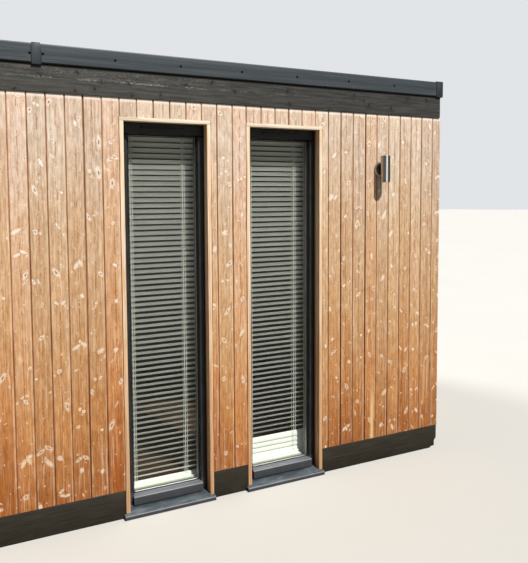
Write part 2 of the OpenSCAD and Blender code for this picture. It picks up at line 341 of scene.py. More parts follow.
# ------------------------------------------------------------------ timber
def whorl(n, xl, zz, k, height, share, size, spread, tilt, seed, way, pair=None):
    """One ring of branches in each length of a board: pale knots, some with a dark middle.
    way is 1 or -1: which end of the tree the board's head was. With pair, two knots lean away
    from the pith line that pair gives."""
    q = n.math("DIVIDE", zz, height)
    i = n.math("FLOOR", q)
    fr = n.sub(q, i)
    key = n.ma(k, 61.7, n.ma(i, 1.37, seed))
    a1, a2, a3 = n.white(key)[:3]
    b1, b2, b3 = n.white(n.add(key, 0.613))[:3]
    dz = n.mul(n.mul(n.sub(fr, n.ma(a1, 0.5, 0.25)), height), way)
    side = n.math("SIGN", n.sub(a2, 0.5))
    if pair is None:
        dx = n.sub(xl, n.mul(n.sub(a2, 0.5), spread))
        ang = n.mul(n.sub(a3, 0.5), tilt)
        low = dz
    else:
        off = n.sub(xl, pair)
        dx = n.sub(n.math("ABSOLUTE", off), n.ma(a2, 14.0, 8.0))
        ang = n.ma(a3, -tilt, -0.35)
        side = n.math("SIGN", off)
        # one of the two sits a little lower
        low = n.add(dz, n.mul(n.mul(side, n.sub(b3, 0.5)), 16.0))
    co, si = n.math("COSINE", ang), n.math("SINE", ang)
    ax = n.add(n.mul(dx, co), n.mul(low, si))
    az = n.math("DIVIDE", n.sub(n.mul(low, co), n.mul(dx, si)), n.ma(n.mul(b3, b3), 2.0, 1.15))
    r = n.math("SQRT", n.add(n.mul(ax, ax), n.mul(az, az)))
    r = n.math("DIVIDE", r, n.mul(n.ma(b2, 0.9, 0.6), size))
    rag = n.noise(n.vec(n.mul(xl, 0.26), n.mul(zz, 0.15), n.mul(key, 7.0)), 4, 0.7)
    rr = n.ma(n.sub(rag, 0.5), 3.4, r)
    there = n.math("LESS_THAN", b1, share)
    halo = n.mul(n.step(rr, 1.38, 0.62), n.mul(there, n.ma(b2, -0.35, 1.0)))
    inner = n.math("GREATER_THAN", n.math("FRACT", n.mul(b1, 37.0)), 0.42)
    core = n.mul(n.step(n.ma(n.sub(rag, 0.5), 0.35, r), 0.50, 0.22), n.mul(there, inner))
    ring = n.mul(n.mul(n.step(rr, 2.1, 1.2), n.step(rr, 0.8, 1.15)), there)
    push = n.mul(n.mul(n.bell(r, 1.7), dx), n.mul(there, 0.5))
    # the tone changes at a whorl: pale just over it, darker just under it
    keep = n.mul(n.step(n.math("MINIMUM", fr, n.sub(1.0, fr)), 0.0, 0.14), there)
    half = n.step(n.mul(xl, n.math("SIGN", n.sub(a3, 0.5))), -9.0, 9.0, 0.25, 1.0)
    over = n.mul(n.step(dz, -12.0, 12.0), n.step(dz, 90.0, 12.0))
    under = n.mul(n.step(dz, 12.0, -12.0), n.step(dz, -120.0, -12.0))
    tone = n.mul(n.sub(over, n.mul(under, 1.2)), n.mul(keep, half))
    return halo, core, ring, push, tone


def larch(name, axis, face, inward, joint, seed):
    """Upright softwood boards, pale and pinkish under the eaves and orange towards the ground."""
    n = Tree(name)
    u = n.x if axis == "x" else n.y
    w = n.y if axis == "x" else n.x
    depth = n.mul(n.sub(w, face * 1000), 1.0 if inward > 0 else -1.0)
    cover = COVER * 1000
    ub = n.math("DIVIDE", n.sub(u, joint * 1000), cover)
    k = n.math("FLOOR", ub)
    f = n.sub(ub, k)
    xl = n.mul(n.sub(f, 0.5), cover)
    r1, r2, r3 = n.white(n.add(k, seed + 0.5))[:3]
    r4, r5, r6 = n.white(n.add(k, seed + 511.5))[:3]
    zz = n.ma(r1, 6000.0, n.z)
    kz = n.mul(k, 3.7)
    front = axis == "x" and inward > 0

    way = n.ma(n.math("GREATER_THAN", n.math("FRACT", n.mul(r6, 19.0)), 0.34), -2.0, 1.0)
    sway = n.noise(n.vec(n.mul(zz, 0.0016), kz), 2)
    pith = n.ma(n.sub(r5, 0.5), 22.0, n.mul(n.sub(sway, 0.5), 14.0))
    ha, ca_, ra, pa, ta = whorl(n, xl, zz, k, 220.0, 0.78, 8.3, 66.0, 2.1, seed + 3.1, way)
    hb, cb_, rb, pb, tb = whorl(n, xl, n.add(zz, 130.0), k, 360.0, 0.26, 6.6, 0.0, 0.9, seed + 9.7, way, pith)
    hc, cc_, rc, pc, tc = whorl(n, xl, n.add(zz, 71.0), k, 118.0, 0.62, 4.6, 78.0, 2.4, seed + 17.9, way)
    xw = n.add(xl, n.add(pa, pb))
    xw = n.ma(n.sub(sway, 0.5), 16.0, xw)

    # growth lines at three widths
    broad = n.noise(n.vec(n.mul(xw, 0.040), n.mul(zz, 0.0010), kz), 3)
    line = n.noise(n.vec(n.mul(xw, 0.17), n.mul(zz, 0.0026), kz), 4, 0.62)
    fine = n.noise(n.vec(n.mul(xw, 0.8), n.mul(zz, 0.014), kz), 3, 0.6)

    # colour falls from bleached at the top to fresh near the ground
    t = n.mul(n.z, 1 / 2300.0)
    t = n.ma(n.sub(broad, 0.5), 0.20, t)
    t = n.ma(n.sub(r2, 0.5), 0.13, t)
    t = n.ma(n.add(ta, n.mul(tb, 0.5)), 0.035, t)
    base = n.ramp(t, [
        (0.05, (0.356, 0.116, 0.021, 1)),
        (0.26, (0.534, 0.248, 0.086, 1)),
        (0.435, (0.596, 0.350, 0.172, 1)),
        (0.70, (0.664, 0.456, 0.290, 1)),
        (0.91, (0.730, 0.595, 0.490, 1)),
        (1.0, (0.765, 0.612, 0.490, 1)),
    ])
    # each board leans to pink, to yellow or to grey-brown
    lean = n.ramp(r3, [
        (0.0, (1.05, 0.97, 0.93, 1)), (0.3, (1.02, 1.0, 0.99, 1)), (0.6, (1.0, 1.02, 0.97, 1)),
        (0.85, (0.96, 0.95, 0.93, 1)), (1.0, (0.88, 0.86, 0.83, 1)),
    ])
    base = n.mix(1.0, base, lean, "MULTIPLY")
    # bands of late wood and pale early wood
    base = n.mix(n.mul(n.step(line, 0.50, 0.63), 0.56), base, n.mix(1.0, base, (0.72, 0.56, 0.40, 1), "MULTIPLY"))
    base = n.mix(n.mul(n.step(line, 0.47, 0.33), 0.44), base, n.mix(0.55, base, (0.90, 0.82, 0.71, 1)))
    # sides of a board that dried paler or browner
    base = n.mix(n.mul(n.step(broad, 0.50, 0.70), 0.30), base, n.mix(1.0, base, (0.86, 0.78, 0.70, 1), "MULTIPLY"))
    base = n.mix(1.0, base, n.vec(n.ma(fine, 0.38, 0.81), n.ma(fine, 0.45, 0.775), n.ma(fine, 0.52, 0.74)), "MULTIPLY")
    # narrow brown lines between them
    thread = n.noise(n.vec(n.mul(xw, 0.30), n.mul(zz, 0.0045), n.add(kz, 41.0)), 3, 0.6)
    base = n.mix(n.mul(n.step(thread, 0.57, 0.68), 0.46), base, n.mix(1.0, base, (0.72, 0.52, 0.36, 1), "MULTIPLY"))
    base = n.mix(n.mul(n.step(thread, 0.42, 0.33), 0.22), base, n.mix(0.40, base, (0.90, 0.82, 0.72, 1)))
    # short clouds along the grain
    cloud = n.noise(n.vec(n.mul(xw, 0.085), n.mul(zz, 0.017), n.add(kz, 23.0)), 3, 0.55)
    cloud = n.step(cloud, 0.30, 0.70, 0.84, 1.12)
    base = n.mix(1.0, base, n.vec(cloud, n.pw(cloud, 1.25), n.pw(cloud, 1.5)), "MULTIPLY")
    # grey weathered streaks
    grey = n.noise(n.vec(n.mul(xw, 0.055), n.mul(zz, 0.0016), n.add(kz, 91.0)), 2)
    grey = n.mul(n.step(grey, 0.55, 0.70), n.ma(r4, 0.7, 0.05))
    base = n.mix(n.mul(grey, 0.55), base, n.mix(1.0, base, (0.74, 0.76, 0.80, 1), "MULTIPLY"))

    # pith: a broken brown line up the middle of some boards
    mid = n.sub(xl, pith)
    dash = n.noise(n.vec(n.mul(xl, 0.05), n.mul(zz, 0.015), n.add(kz, 17.0)), 3, 0.6)
    where = n.noise(n.vec(n.mul(zz, 0.0030), kz, 55.0), 1)
    dash = n.mul(n.step(n.ma(n.sub(where, 0.5), 0.35, dash), 0.47, 0.55), n.bell(mid, 2.7))
    dash = n.mul(dash, n.math("LESS_THAN", r6, 0.80))
    fleck = n.noise(n.vec(n.mul(xl, 0.26), n.mul(zz, 0.055), n.add(kz, 33.0)), 1)
    fleck = n.mul(n.step(fleck, 0.63, 0.71), n.bell(mid, 32.0))
    base = n.mix(n.mul(dash, 0.85), base, n.mix(0.35, (0.42, 0.145, 0.035, 1), n.mix(1.0, base, (0.55, 0.36, 0.22, 1), "MULTIPLY")))
    base = n.mix(n.mul(fleck, 0.75), base, n.mix(1.0, base, (0.58, 0.36, 0.20, 1), "MULTIPLY"))

    # knots
    rings = n.math("MAXIMUM", ra, rb)
    base = n.mix(n.mul(rings, 0.42), base, n.mix(1.0, base, (0.80, 0.62, 0.45, 1), "MULTIPLY"))
    halo = n.math("MAXIMUM", n.math("MAXIMUM", ha, hb), n.mul(hc, 0.75))
    pale = n.mix(n.step(n.z, 200.0, 2200.0), (0.86, 0.69, 0.50, 1), (0.97, 0.89, 0.79, 1))
    base = n.mix(n.mul(halo, 0.92), base, pale)
    pin, pin_core = knots(n, n.ma(zz, 0.32, xl), zz, 27.0, 74.0, 0.30, 3.4, seed)
    base = n.mix(n.mul(pin, 0.50), base, pale)
    core = n.math("MAXIMUM", n.math("MAXIMUM", ca_, cb_), n.math("MAXIMUM", cc_, n.mul(pin_core, 0.35)))
    base = n.mix(n.mul(core, 0.80), base, (0.20, 0.090, 0.040, 1))
    # pin holes and resin spots
    _, spot = knots(n, n.ma(zz, 0.21, xl), zz, 36.0, 96.0, 0.20, 5.2, seed + 5.0)
    base = n.mix(n.mul(spot, 0.80), base, (0.085, 0.035, 0.014, 1))
    # painted shade: where a knot on an arris has fallen out, a black notch is painted on the flat face
    rim = n.step(n.math("ABSOLUTE", xl), 37.0, 41.0)
    base = n.mix(n.mul(n.mul(n.step(halo, 0.55, 0.9), rim), n.mul(n.step(r4, 0.3, 0.5), 0.9)), base, (0.03, 0.018, 0.012, 1))

    if front:
        # the board with a pale yellow streak at its foot is browner than the rest
        odd = n.bell(n.sub(k, 23.0), 0.3)
        base = n.mix(n.mul(odd, 0.8), base, n.mix(1.0, base, (0.93, 0.86, 0.76, 1), "MULTIPLY"))
        streak = n.mul(n.bell(n.sub(n.add(xl, n.mul(n.sub(line, 0.5), 20.0)), 18.0), 11.0), n.step(n.z, 600.0, 330.0))
        base = n.mix(n.mul(n.mul(odd, streak), 0.85), base, (0.80, 0.56, 0.26, 1))
    # pale arrises: partly wear, partly painted highlight, stronger on the right edge that faces the key light
    arris = n.step(xl, 35.0, 40.0, 0.0, 0.78)
    arris = n.math("MAXIMUM", arris, n.step(xl, -37.0, -40.5, 0.0, 0.45))
    patchy = n.noise(n.vec(n.mul(zz, 0.012), kz, 71.0), 2)
    base = n.mix(n.mul(arris, n.step(patchy, 0.35, 0.62, 0.25, 1.0)), base, n.mix(0.5, base, (0.90, 0.74, 0.54, 1)))
    # sawn end grain at the head
    head = n.step(n.z, BOARD_Z1 * 1000 - 26.0, BOARD_Z1 * 1000 - 12.0)
    base = n.mix(n.mul(head, 0.70), base, (0.93, 0.82, 0.72, 1))
    # painted shade: the bevels, the left ones most, are darker and more orange, and the joints are darkened with dust
    # and painted shade
    deep = n.mul(n.step(depth, 0.7, 2.2), n.step(xl, 4.0, -4.0, 0.35, 1.0))
    base = n.mix(n.mul(deep, 0.85), base, n.mix(1.0, base, (0.86, 0.56, 0.35, 1), "MULTIPLY"))
    # dirt and painted shade in the joints, thicker in some and in stretches of others
    jn = n.math("FLOOR", n.add(ub, 0.5))
    jr = n.white(n.add(jn, seed + 77.5))
    run = n.noise(n.vec(n.mul(n.z, 0.0024), n.mul(jn, 5.1), seed), 3, 0.6)
    dirt_and_painted_shade = n.add(n.ma(jr[0], 0.25, 0.04), n.step(run, 0.50, 0.66, 0.0, 0.40))
    if front:
        for j, most, z_lo, z_hi in ((21.0, 1.1, 2200.0, 1500.0), (23.0, 0.75, 2400.0, 1800.0), (25.0, 1.0, 760.0, 480.0), (22.0, 0.8, 640.0, 380.0), (4.0, 0.8, 1200.0, 500.0), (14.0, 0.8, 2400.0, 1300.0)):
            dirt_and_painted_shade = n.math("MAXIMUM", dirt_and_painted_shade, n.mul(n.mul(n.bell(n.sub(jn, j), 0.3), most), n.step(n.z, z_lo, z_hi)))
    base = n.mix(n.mul(n.step(depth, 0.5, 2.6), dirt_and_painted_shade), base, n.mix(1.0, base, (0.42, 0.23, 0.13, 1), "MULTIPLY"))
    # painted shade: the bottom of each joint's slot is coloured dark red-brown, near black where the dirt and painted
    # shade is thick
    slot_painted_shade = n.step(depth, 4.6, 7.5, 0.0, 0.93)
    if front:
        slot_painted_shade = n.mul(slot_painted_shade, n.math("MAXIMUM", n.step(jn, 2.0, 9.0, 0.62, 1.0), n.step(jn, -5.0, -12.0, 0.62, 1.0)))
    base = n.mix(slot_painted_shade, base, n.mix(dirt_and_painted_shade, (0.28, 0.100, 0.032, 1), (0.07, 0.022, 0.009, 1)))

    h = n.add(n.mul(line, 0.5), n.mul(fine, 0.35))
    h = n.ma(core, -0.35, h)
    h = n.ma(dash, -0.3, h)
    h = n.ma(halo, 0.12, h)
    return n.surface(base, n.ma(line, 0.25, 0.58), n.bump(h, 0.0006, 0.9), spec=0.25)


def knots(n, xl, zz, cell_w, cell_h, share, big, seed_x):
    """Small knots scattered over planed timber. Returns (halo, core)."""
    fx = n.add(n.math("DIVIDE", xl, cell_w), seed_x)
    fz = n.math("DIVIDE", zz, cell_h)
    vo = n.voronoi(n.vec(fx, fz))
    px, pz, _ = n.sep(vo[2])
    dx = n.mul(n.sub(fx, px), cell_w)
    dz = n.mul(n.sub(fz, pz), cell_h)
    c = n.t.nodes.new("ShaderNodeSeparateColor")
    n.t.links.new(vo[1], c.inputs[0])
    r = n.math("SQRT", n.add(n.mul(dx, dx), n.mul(n.mul(dz, dz), 0.4)))
    r = n.math("DIVIDE", r, n.mul(n.ma(c.outputs[2], 0.7, 0.65), big))
    rag = n.noise(n.vec(n.mul(dx, 0.16), n.mul(dz, 0.11), n.mul(c.outputs[0], 90)), 2)
    there = n.math("LESS_THAN", c.outputs[0], share)
    return n.mul(n.step(n.ma(n.sub(rag, 0.5), 1.1, r), 1.0, 0.4), there), n.mul(n.step(r, 0.4, 0.2), there)


def planed(name, along, seed, pale, deep, depth_from=None):
    """Planed pale timber, its grain along one axis, with painted light and shade across its depth in an opening."""
    n = Tree(name)
    if along == "z":
        a, c, d = n.z, n.x, n.y
    else:
        a, c, d = n.x, n.z, n.y
    off = n.math("FLOOR", n.mul(n.x, 0.004))
    g = n.noise(n.vec(n.mul(c, 0.16), n.mul(a, 0.0035), n.add(n.mul(d, 0.13), n.mul(off, seed))), 4, 0.6)
    f = n.noise(n.vec(n.mul(c, 0.8), n.mul(a, 0.016), n.mul(d, 0.7)), 3)
    halo, core = knots(n, n.add(c, d), a, 80.0, 330.0, 0.5, 8.0, seed * 3.1)
    base = n.mix(n.step(g, 0.38, 0.62), pale, deep)
    base = n.mix(n.mul(halo, 0.5), base, srgb(244, 226, 196))
    base = n.mix(n.mul(core, 0.6), base, srgb(140, 92, 58))
    base = n.mix(n.mul(n.step(g, 0.54, 0.62), 0.5), base, n.mix(1.0, base, (0.82, 0.70, 0.58, 1), "MULTIPLY"))
    tone = n.ma(f, 0.40, 0.80)
    base = n.mix(1.0, base, n.vec(tone, tone, tone), "MULTIPLY")
    if depth_from is not None:
        low = n.step(n.z, 1500.0, 150.0)
        base = n.mix(n.mul(low, 0.85), base, n.mix(1.0, base, (0.90, 0.66, 0.47, 1), "MULTIPLY"))
        # painted shade inside the opening: behind the pale front edge the faces are darker and more orange
        inner = n.step(n.sub(d, depth_from * 1000), 1.5, 16.0)
        base = n.mix(n.mul(inner, 0.62), base, n.mix(1.0, base, (0.80, 0.62, 0.44, 1), "MULTIPLY"))
        # painted light and shade across the reveal's depth: a dark line just behind the front edge, a paler band, then
        # painted shade deepening towards the frame
        back = n.ramp(n.step(n.sub(d, depth_from * 1000), 0.0, 70.0, smooth=False), [
            (0.0, (1.0, 1.0, 1.0, 1)), (0.03, (0.76, 0.76, 0.76, 1)), (0.18, (0.86, 0.86, 0.86, 1)), (0.31, (1.12, 1.12, 1.12, 1)),
            (0.54, (1.14, 1.14, 1.14, 1)), (0.71, (0.60, 0.60, 0.60, 1)), (0.83, (0.32, 0.32, 0.32, 1)), (0.94, (0.15, 0.15, 0.15, 1)),
        ])
        base = n.mix(1.0, base, back, "MULTIPLY")
        foot = n.mul(n.step(n.z, 620.0, 60.0), inner)
        base = n.mix(n.mul(foot, 0.2), base, srgb(116, 74, 44))
    return n.surface(base, n.ma(g, 0.2, 0.5), n.bump(n.add(g, n.mul(f, 0.4)), 0.0003, 0.8), spec=0.3)


def fascia_wood(name, axis, z0, z1, seed, front=False):
    """Rough-sawn board under black stain: fine straight fibres, dark knots with short checks, and
    granular pale wear above a line along its middle."""
    n = Tree(name)
    u = n.x if axis == "x" else n.y
    zz = n.z
    uu = n.add(u, seed * 777.0)
    # knots, in an upper and a lower row
    cw, ch = 150.0, 69.0
    fu = n.math("DIVIDE", uu, cw)
    fz = n.math("DIVIDE", n.sub(zz, z0 * 1000), ch)
    vo = n.voronoi(n.vec(fu, fz), rnd=0.9)
    px, pz, _ = n.sep(vo[2])
    dx = n.mul(n.sub(fu, px), cw)
    dz = n.mul(n.sub(fz, pz), ch)
    key = n.t.nodes.new("ShaderNodeSeparateColor")
    n.t.links.new(vo[1], key.inputs[0])
    there = n.math("LESS_THAN", key.outputs[0], 0.58)
    big = n.ma(key.outputs[1], 8.0, 5.0)
    rag = n.noise(n.vec(n.mul(uu, 0.09), n.mul(zz, 0.11), 7.0), 4, 0.72)
    lean = n.add(dx, n.mul(dz, n.mul(n.sub(key.outputs[2], 0.5), 1.5)))
    r = n.math("SQRT", n.add(n.mul(lean, n.mul(lean, 0.9)), n.mul(n.mul(dz, dz), 0.5)))
    rr = n.ma(n.sub(rag, 0.5), 22.0, r)
    knot = n.mul(n.step(rr, big, n.mul(big, 0.3)), there)
    halo = n.mul(n.bell(rr, n.mul(big, 2.4)), there)
    check = n.mul(n.mul(n.bell(n.ma(n.sub(rag, 0.5), 14.0, lean), 1.7), n.bell(dz, 15.0)), there)
    # fibres, eased round the knots
    wave = n.noise(n.vec(n.mul(uu, 0.005), n.mul(zz, 0.012), seed + 2.0), 2)
    zw = n.ma(n.sub(wave, 0.5), 9.0, zz)
    zw = n.sub(zw, n.mul(n.mul(n.mul(dz, 0.7), n.mul(n.bell(dx, 26.0), n.bell(dz, 20.0))), there))
    sway = n.noise(n.vec(n.mul(uu, 0.0035), seed + 9.0), 2)
    edge = n.ma(n.sub(sway, 0.5), 9.0, z0 * 1000 + (z1 - z0) * 1000 * 0.53)
    above = n.sub(zz, edge)
    upper = n.step(above, -2.5, 2.5)
    long = n.noise(n.vec(n.mul(uu, 0.0045), n.mul(zw, 0.075), seed), 4, 0.58)
    fibre = n.noise(n.vec(n.mul(uu, 0.013), n.mul(zw, 0.34), seed + 3.0), 4, 0.62)
    grit = n.noise(n.vec(n.mul(uu, 0.10), n.mul(zw, 0.26), seed + 4.0), 3, 0.65)
    base = n.mix(n.step(long, 0.32, 0.68), srgb(56, 56, 54), srgb(80, 80, 76))
    base = n.mix(upper, base, n.mix(n.step(long, 0.32, 0.68), srgb(52, 52, 50), srgb(76, 76, 73)))
    tone = n.mul(n.step(fibre, 0.28, 0.72, 0.66, 1.28, smooth=False), n.step(grit, 0.25, 0.75, 0.74, 1.30, smooth=False))
    base = n.mix(1.0, base, n.vec(tone, tone, tone), "MULTIPLY")
    # rusty brown where the stain is thin
    thin = n.noise(n.vec(n.mul(uu, 0.009), n.mul(zw, 0.05), 12.0), 3)
    thin = n.mul(n.step(thin, 0.52, 0.70), n.ma(upper, 0.6, 0.25))
    if front:
        thin = n.mul(thin, n.ma(n.bell(n.sub(u, -60.0), 300.0), 1.2, 0.3))
    base = n.mix(n.mul(thin, 0.45), base, srgb(104, 86, 75))
    # pale wear: short broken strokes on the raised grain
    s1 = n.noise(n.vec(n.mul(uu, 0.060), n.ma(zw, 0.24, n.mul(uu, 0.020)), seed + 5.0), 4, 0.72)
    s2 = n.noise(n.vec(n.mul(uu, 0.120), n.ma(zw, 0.40, n.mul(uu, -0.045)), seed + 6.0), 3, 0.70)
    strokes = n.math("MAXIMUM", n.step(s1, 0.555, 0.66), n.mul(n.step(s2, 0.56, 0.68), 0.9))
    broken = n.step(n.noise(n.vec(n.mul(uu, 0.012), n.mul(zw, 0.04), seed + 15.0), 3, 0.6), 0.40, 0.62, 0.15, 1.0)
    if front:
        near = n.math("MAXIMUM", n.bell(n.sub(u, 480.0), 560.0), n.mul(n.bell(n.sub(u, 1100.0), 650.0), 0.35))
        near = n.ma(near, 0.92, 0.06)
    else:
        near = n.step(n.noise(n.vec(n.mul(uu, 0.0022), seed + 20.0), 2), 0.42, 0.66, 0.06, 0.7)
    ridge = n.bell(n.sub(above, 3.0), 5.5)
    worn = n.mul(n.mul(strokes, broken), n.math("MAXIMUM", n.mul(upper, 0.75), n.ma(ridge, 0.95, 0.10)))
    worn = n.math("MAXIMUM", worn, n.mul(n.mul(n.step(s1, 0.44, 0.60), n.step(broken, 0.3, 0.8)), n.mul(n.bell(n.sub(above, 3.0), 3.6), 0.85)))
    worn = n.mul(worn, near)
    base = n.mix(worn, base, srgb(186, 183, 175))
    # dark pores between the fibres
    pore = n.noise(n.vec(n.mul(uu, 0.022), n.mul(zw, 0.45), seed + 8.0), 3, 0.6)
    base = n.mix(n.mul(n.step(pore, 0.40, 0.30), 0.5), base, srgb(34, 34, 32))
    base = n.mix(n.mul(halo, 0.34), base, srgb(38, 38, 37))
    base = n.mix(n.mul(knot, 0.70), base, srgb(18, 18, 17))
    base = n.mix(n.mul(check, 0.60), base, srgb(16, 16, 15))
    if front:
        # painted shade: darker towards the right-hand corner
        painted_dimming_right = n.step(u, 300.0, 1500.0, 1.0, 0.74)
        base = n.mix(1.0, base, n.vec(painted_dimming_right, painted_dimming_right, painted_dimming_right), "MULTIPLY")
    # painted shadow of the trim along the top, and darker along the lower arris
    dirt_and_painted_shade = n.math("MAXIMUM", n.step(zz, z1 * 1000 - 13.0, z1 * 1000 - 8.5, 0.0, 0.9), n.step(zz, z0 * 1000 + 5.0, z0 * 1000 + 1.0, 0.0, 0.35))
    base = n.mix(dirt_and_painted_shade, base, srgb(16, 16, 15))
    h = n.add(n.mul(long, 0.4), n.mul(fibre, n.ma(upper, 0.3, 0.5)))
    h = n.sub(n.ma(worn, 0.25, h), n.add(n.mul(knot, 0.4), n.mul(check, 0.4)))
    return n.surface(base, n.ma(fibre, 0.2, 0.62), n.bump(h, 0.0012, 0.8), spec=0.25)


def plinth_wood(name, axis, seed):
    """Planed board under black stain, with a fine red-brown shake and a few scuffs."""
    n = Tree(name)
    u = n.x if axis == "x" else n.y
    g = n.noise(n.vec(n.mul(u, 0.006), n.mul(n.z, 0.16), seed), 4, 0.6)
    f = n.noise(n.vec(n.mul(u, 0.03), n.mul(n.z, 0.9), seed + 2.0), 3)
    base = n.mix(n.step(g, 0.3, 0.7), srgb(36, 33, 26), srgb(51, 47, 38))
    patch = n.noise(n.vec(n.mul(u, 0.004), n.mul(n.z, 0.012), seed + 5.0), 3)
    base = n.mix(n.mul(n.step(patch, 0.5, 0.72), 0.4), base, srgb(66, 62, 52))
    # shake along the board
    wav = n.mul(n.sub(n.noise(n.vec(n.mul(u, 0.004), seed + 8.0), 3), 0.5), 12.0)
    shake = n.bell(n.sub(n.z, n.add(wav, 82.0)), 0.9)
    cut = n.step(n.noise(n.vec(n.mul(u, 0.008), seed + 11.0), 3), 0.44, 0.52)
    if seed == 1.0:
        cut = n.mul(n.step(u, 1640.0, 1690.0), n.mul(n.step(u, 2180.0, 2060.0), n.math("MAXIMUM", cut, 0.7)))
    shake = n.mul(shake, cut)
    base = n.mix(n.mul(shake, 0.8), base, srgb(112, 62, 44))
    # scuffs and chips near the upper edge
    vo = n.voronoi(n.vec(n.math("DIVIDE", u, 130.0), n.math("DIVIDE", n.z, 60.0)))
    px, pz, _ = n.sep(vo[2])
    dx = n.mul(n.sub(n.math("DIVIDE", u, 130.0), px), 130.0)
    dz = n.mul(n.sub(n.math("DIVIDE", n.z, 60.0), pz), 60.0)
    dz = n.sub(dz, n.mul(dx, 0.3))
    c = n.t.nodes.new("ShaderNodeSeparateColor")
    n.t.links.new(vo[1], c.inputs[0])
    scuff = n.mul(n.mul(n.bell(dx, 9.0), n.bell(dz, 2.2)), n.math("LESS_THAN", c.outputs[0], 0.14))
    scuff = n.mul(scuff, n.step(n.z, 60.0, 125.0))
    base = n.mix(n.mul(scuff, 0.8), base, srgb(142, 135, 124))
    top = n.step(n.z, 149.0, 154.0)
    base = n.mix(n.mul(top, 0.35), base, srgb(90, 86, 78))
    h = n.sub(n.add(n.mul(g, 0.4), n.mul(f, 0.4)), n.mul(shake, 0.8))
    return n.surface(base, n.ma(f, 0.22, 0.5), n.bump(h, 0.0005, 0.8), spec=0.3)


# ------------------------------------------------------------------ other finishes
def coated(name, colour, rough=0.42, grain=1.0, dust=0.25, dust_colour=(92, 96, 98), top_dust_and_sheen=0.0, beads=None, folds=None):
    """Powder coat or moulded plastic: a faint orange peel and settled dust. With top_dust_and_sheen, level
    faces are paler, partly dust and partly painted reflection of the sky, and there is more dust near the ground.
    beads: depth behind which a frame's glazing beads are painted near black as painted shade."""
    n = Tree(name)
    peel = n.noise(n.pos, 2, 0.5, 900.0)
    cloud = n.noise(n.pos, 4, 0.6, 9.0)
    spots = n.noise(n.pos, 2, 0.6, 60.0)
    base = n.mix(n.mul(n.step(cloud, 0.42, 0.72), dust), colour, srgb(*dust_colour))
    base = n.mix(n.mul(n.step(spots, 0.62, 0.78), dust * 0.6), base, srgb(*dust_colour))
    if beads is not None:
        # painted shade: behind the frame face the glazing beads are coloured near black
        base = n.mix(n.mul(n.step(n.sub(n.y, beads * 1000), 1.6, 3.0), 0.82), base, srgb(7, 7, 7))
        base = n.mix(n.step(n.sub(n.y, beads * 1000), 50.0, 51.5), base, srgb(158, 158, 152))
        # a pale line along the bottom member's top front arris: painted highlight with some wear
        arris = n.mul(n.step(n.z, 82.5, 84.0), n.mul(n.step(n.z, 88.0, 86.8), n.step(n.sub(n.y, beads * 1000), -24.5, -26.0)))
        base = n.mix(n.mul(arris, 0.6), base, srgb(150, 148, 156))
    if folds is not None:
        # the corner covers are newer and darker than the joint straps
        out = n.step(n.math("ABSOLUTE", n.x), folds * 1000 - 70.0, folds * 1000 - 60.0)
        base = n.mix(n.mul(out, 0.42), base, srgb(24, 29, 32))
        fold = n.step(n.math("ABSOLUTE", n.x), folds * 1000 - 4.0, folds * 1000 - 1.0)
        base = n.mix(n.mul(fold, 0.7), base, srgb(10, 12, 14))
        # shade in the folded edges of the straps
        side = n.mul(n.step(n.math("ABSOLUTE", n.x), 19.5, 22.0), n.sub(1.0, out))
        side = n.math("MAXIMUM", side, n.mul(n.step(n.z, 2394.0, 2391.0), n.sub(1.0, out)))
        base = n.mix(n.mul(side, 0.75), base, srgb(14, 16, 18))
    if top_dust_and_sheen:
        # paler level faces: settled dust and painted reflection of the sky; more dust near the ground
        g = n.t.nodes.new("ShaderNodeNewGeometry")
        up = n.step(n.sep(g.outputs["Normal"])[2], 0.35, 0.9)
        low = n.step(n.z, 110.0, 95.0)
        fallen_dust_and_sheen = n.math("MAXIMUM", n.mul(up, top_dust_and_sheen), n.mul(low, top_dust_and_sheen * 0.30))
        base = n.mix(n.mul(fallen_dust_and_sheen, n.step(cloud, 0.25, 0.5, 0.8, 1.0)), base, srgb(146, 150, 158))
    return n.surface(base, n.ma(cloud, 0.2, rough - 0.1), n.bump(peel, 0.00008, 0.5 * grain), spec=0.45)


def pressed_sill(name):
    """Slate-grey coated sill, patchy with rain marks and grit on top, browner on its nose."""
    n = Tree(name)
    cloud = n.noise(n.vec(n.mul(n.x, 0.011), n.mul(n.y, 0.022), n.mul(n.z, 0.02)), 4, 0.62)
    spots = n.noise(n.vec(n.mul(n.x, 0.11), n.mul(n.y, 0.16), n.mul(n.z, 0.1)), 3, 0.65)
    base = n.mix(n.step(cloud, 0.36, 0.66), srgb(54, 63, 69), srgb(88, 97, 102))
    base = n.mix(n.mul(n.step(spots, 0.58, 0.70), 0.55), base, srgb(126, 130, 128))
    base = n.mix(n.mul(n.step(spots, 0.40, 0.30), 0.45), base, srgb(34, 38, 41))
    # painted shade in the corner under the frame
    inner = n.step(n.y, (FY + 0.004) * 1000, (FY + 0.040) * 1000)
    base = n.mix(n.mul(inner, 0.35), base, srgb(38, 45, 50))
    nose = n.step(n.y, (FY - 0.0255) * 1000, (FY - 0.0272) * 1000)
    base = n.mix(n.mul(nose, 0.8), base, srgb(60, 58, 62))
    # a pale line along the nose's top arris: painted highlight with some wear
    arris = n.mul(n.step(n.y, (FY - 0.0225) * 1000, (FY - 0.0255) * 1000), n.step(n.z, 16.5, 18.0))
    base = n.mix(n.mul(arris, 0.55), base, srgb(132, 130, 138))
    peel = n.noise(n.pos, 2, 0.5, 900.0)
    return n.surface(base, n.ma(cloud, 0.25, 0.28), n.bump(peel, 0.00008, 0.5), spec=0.45)


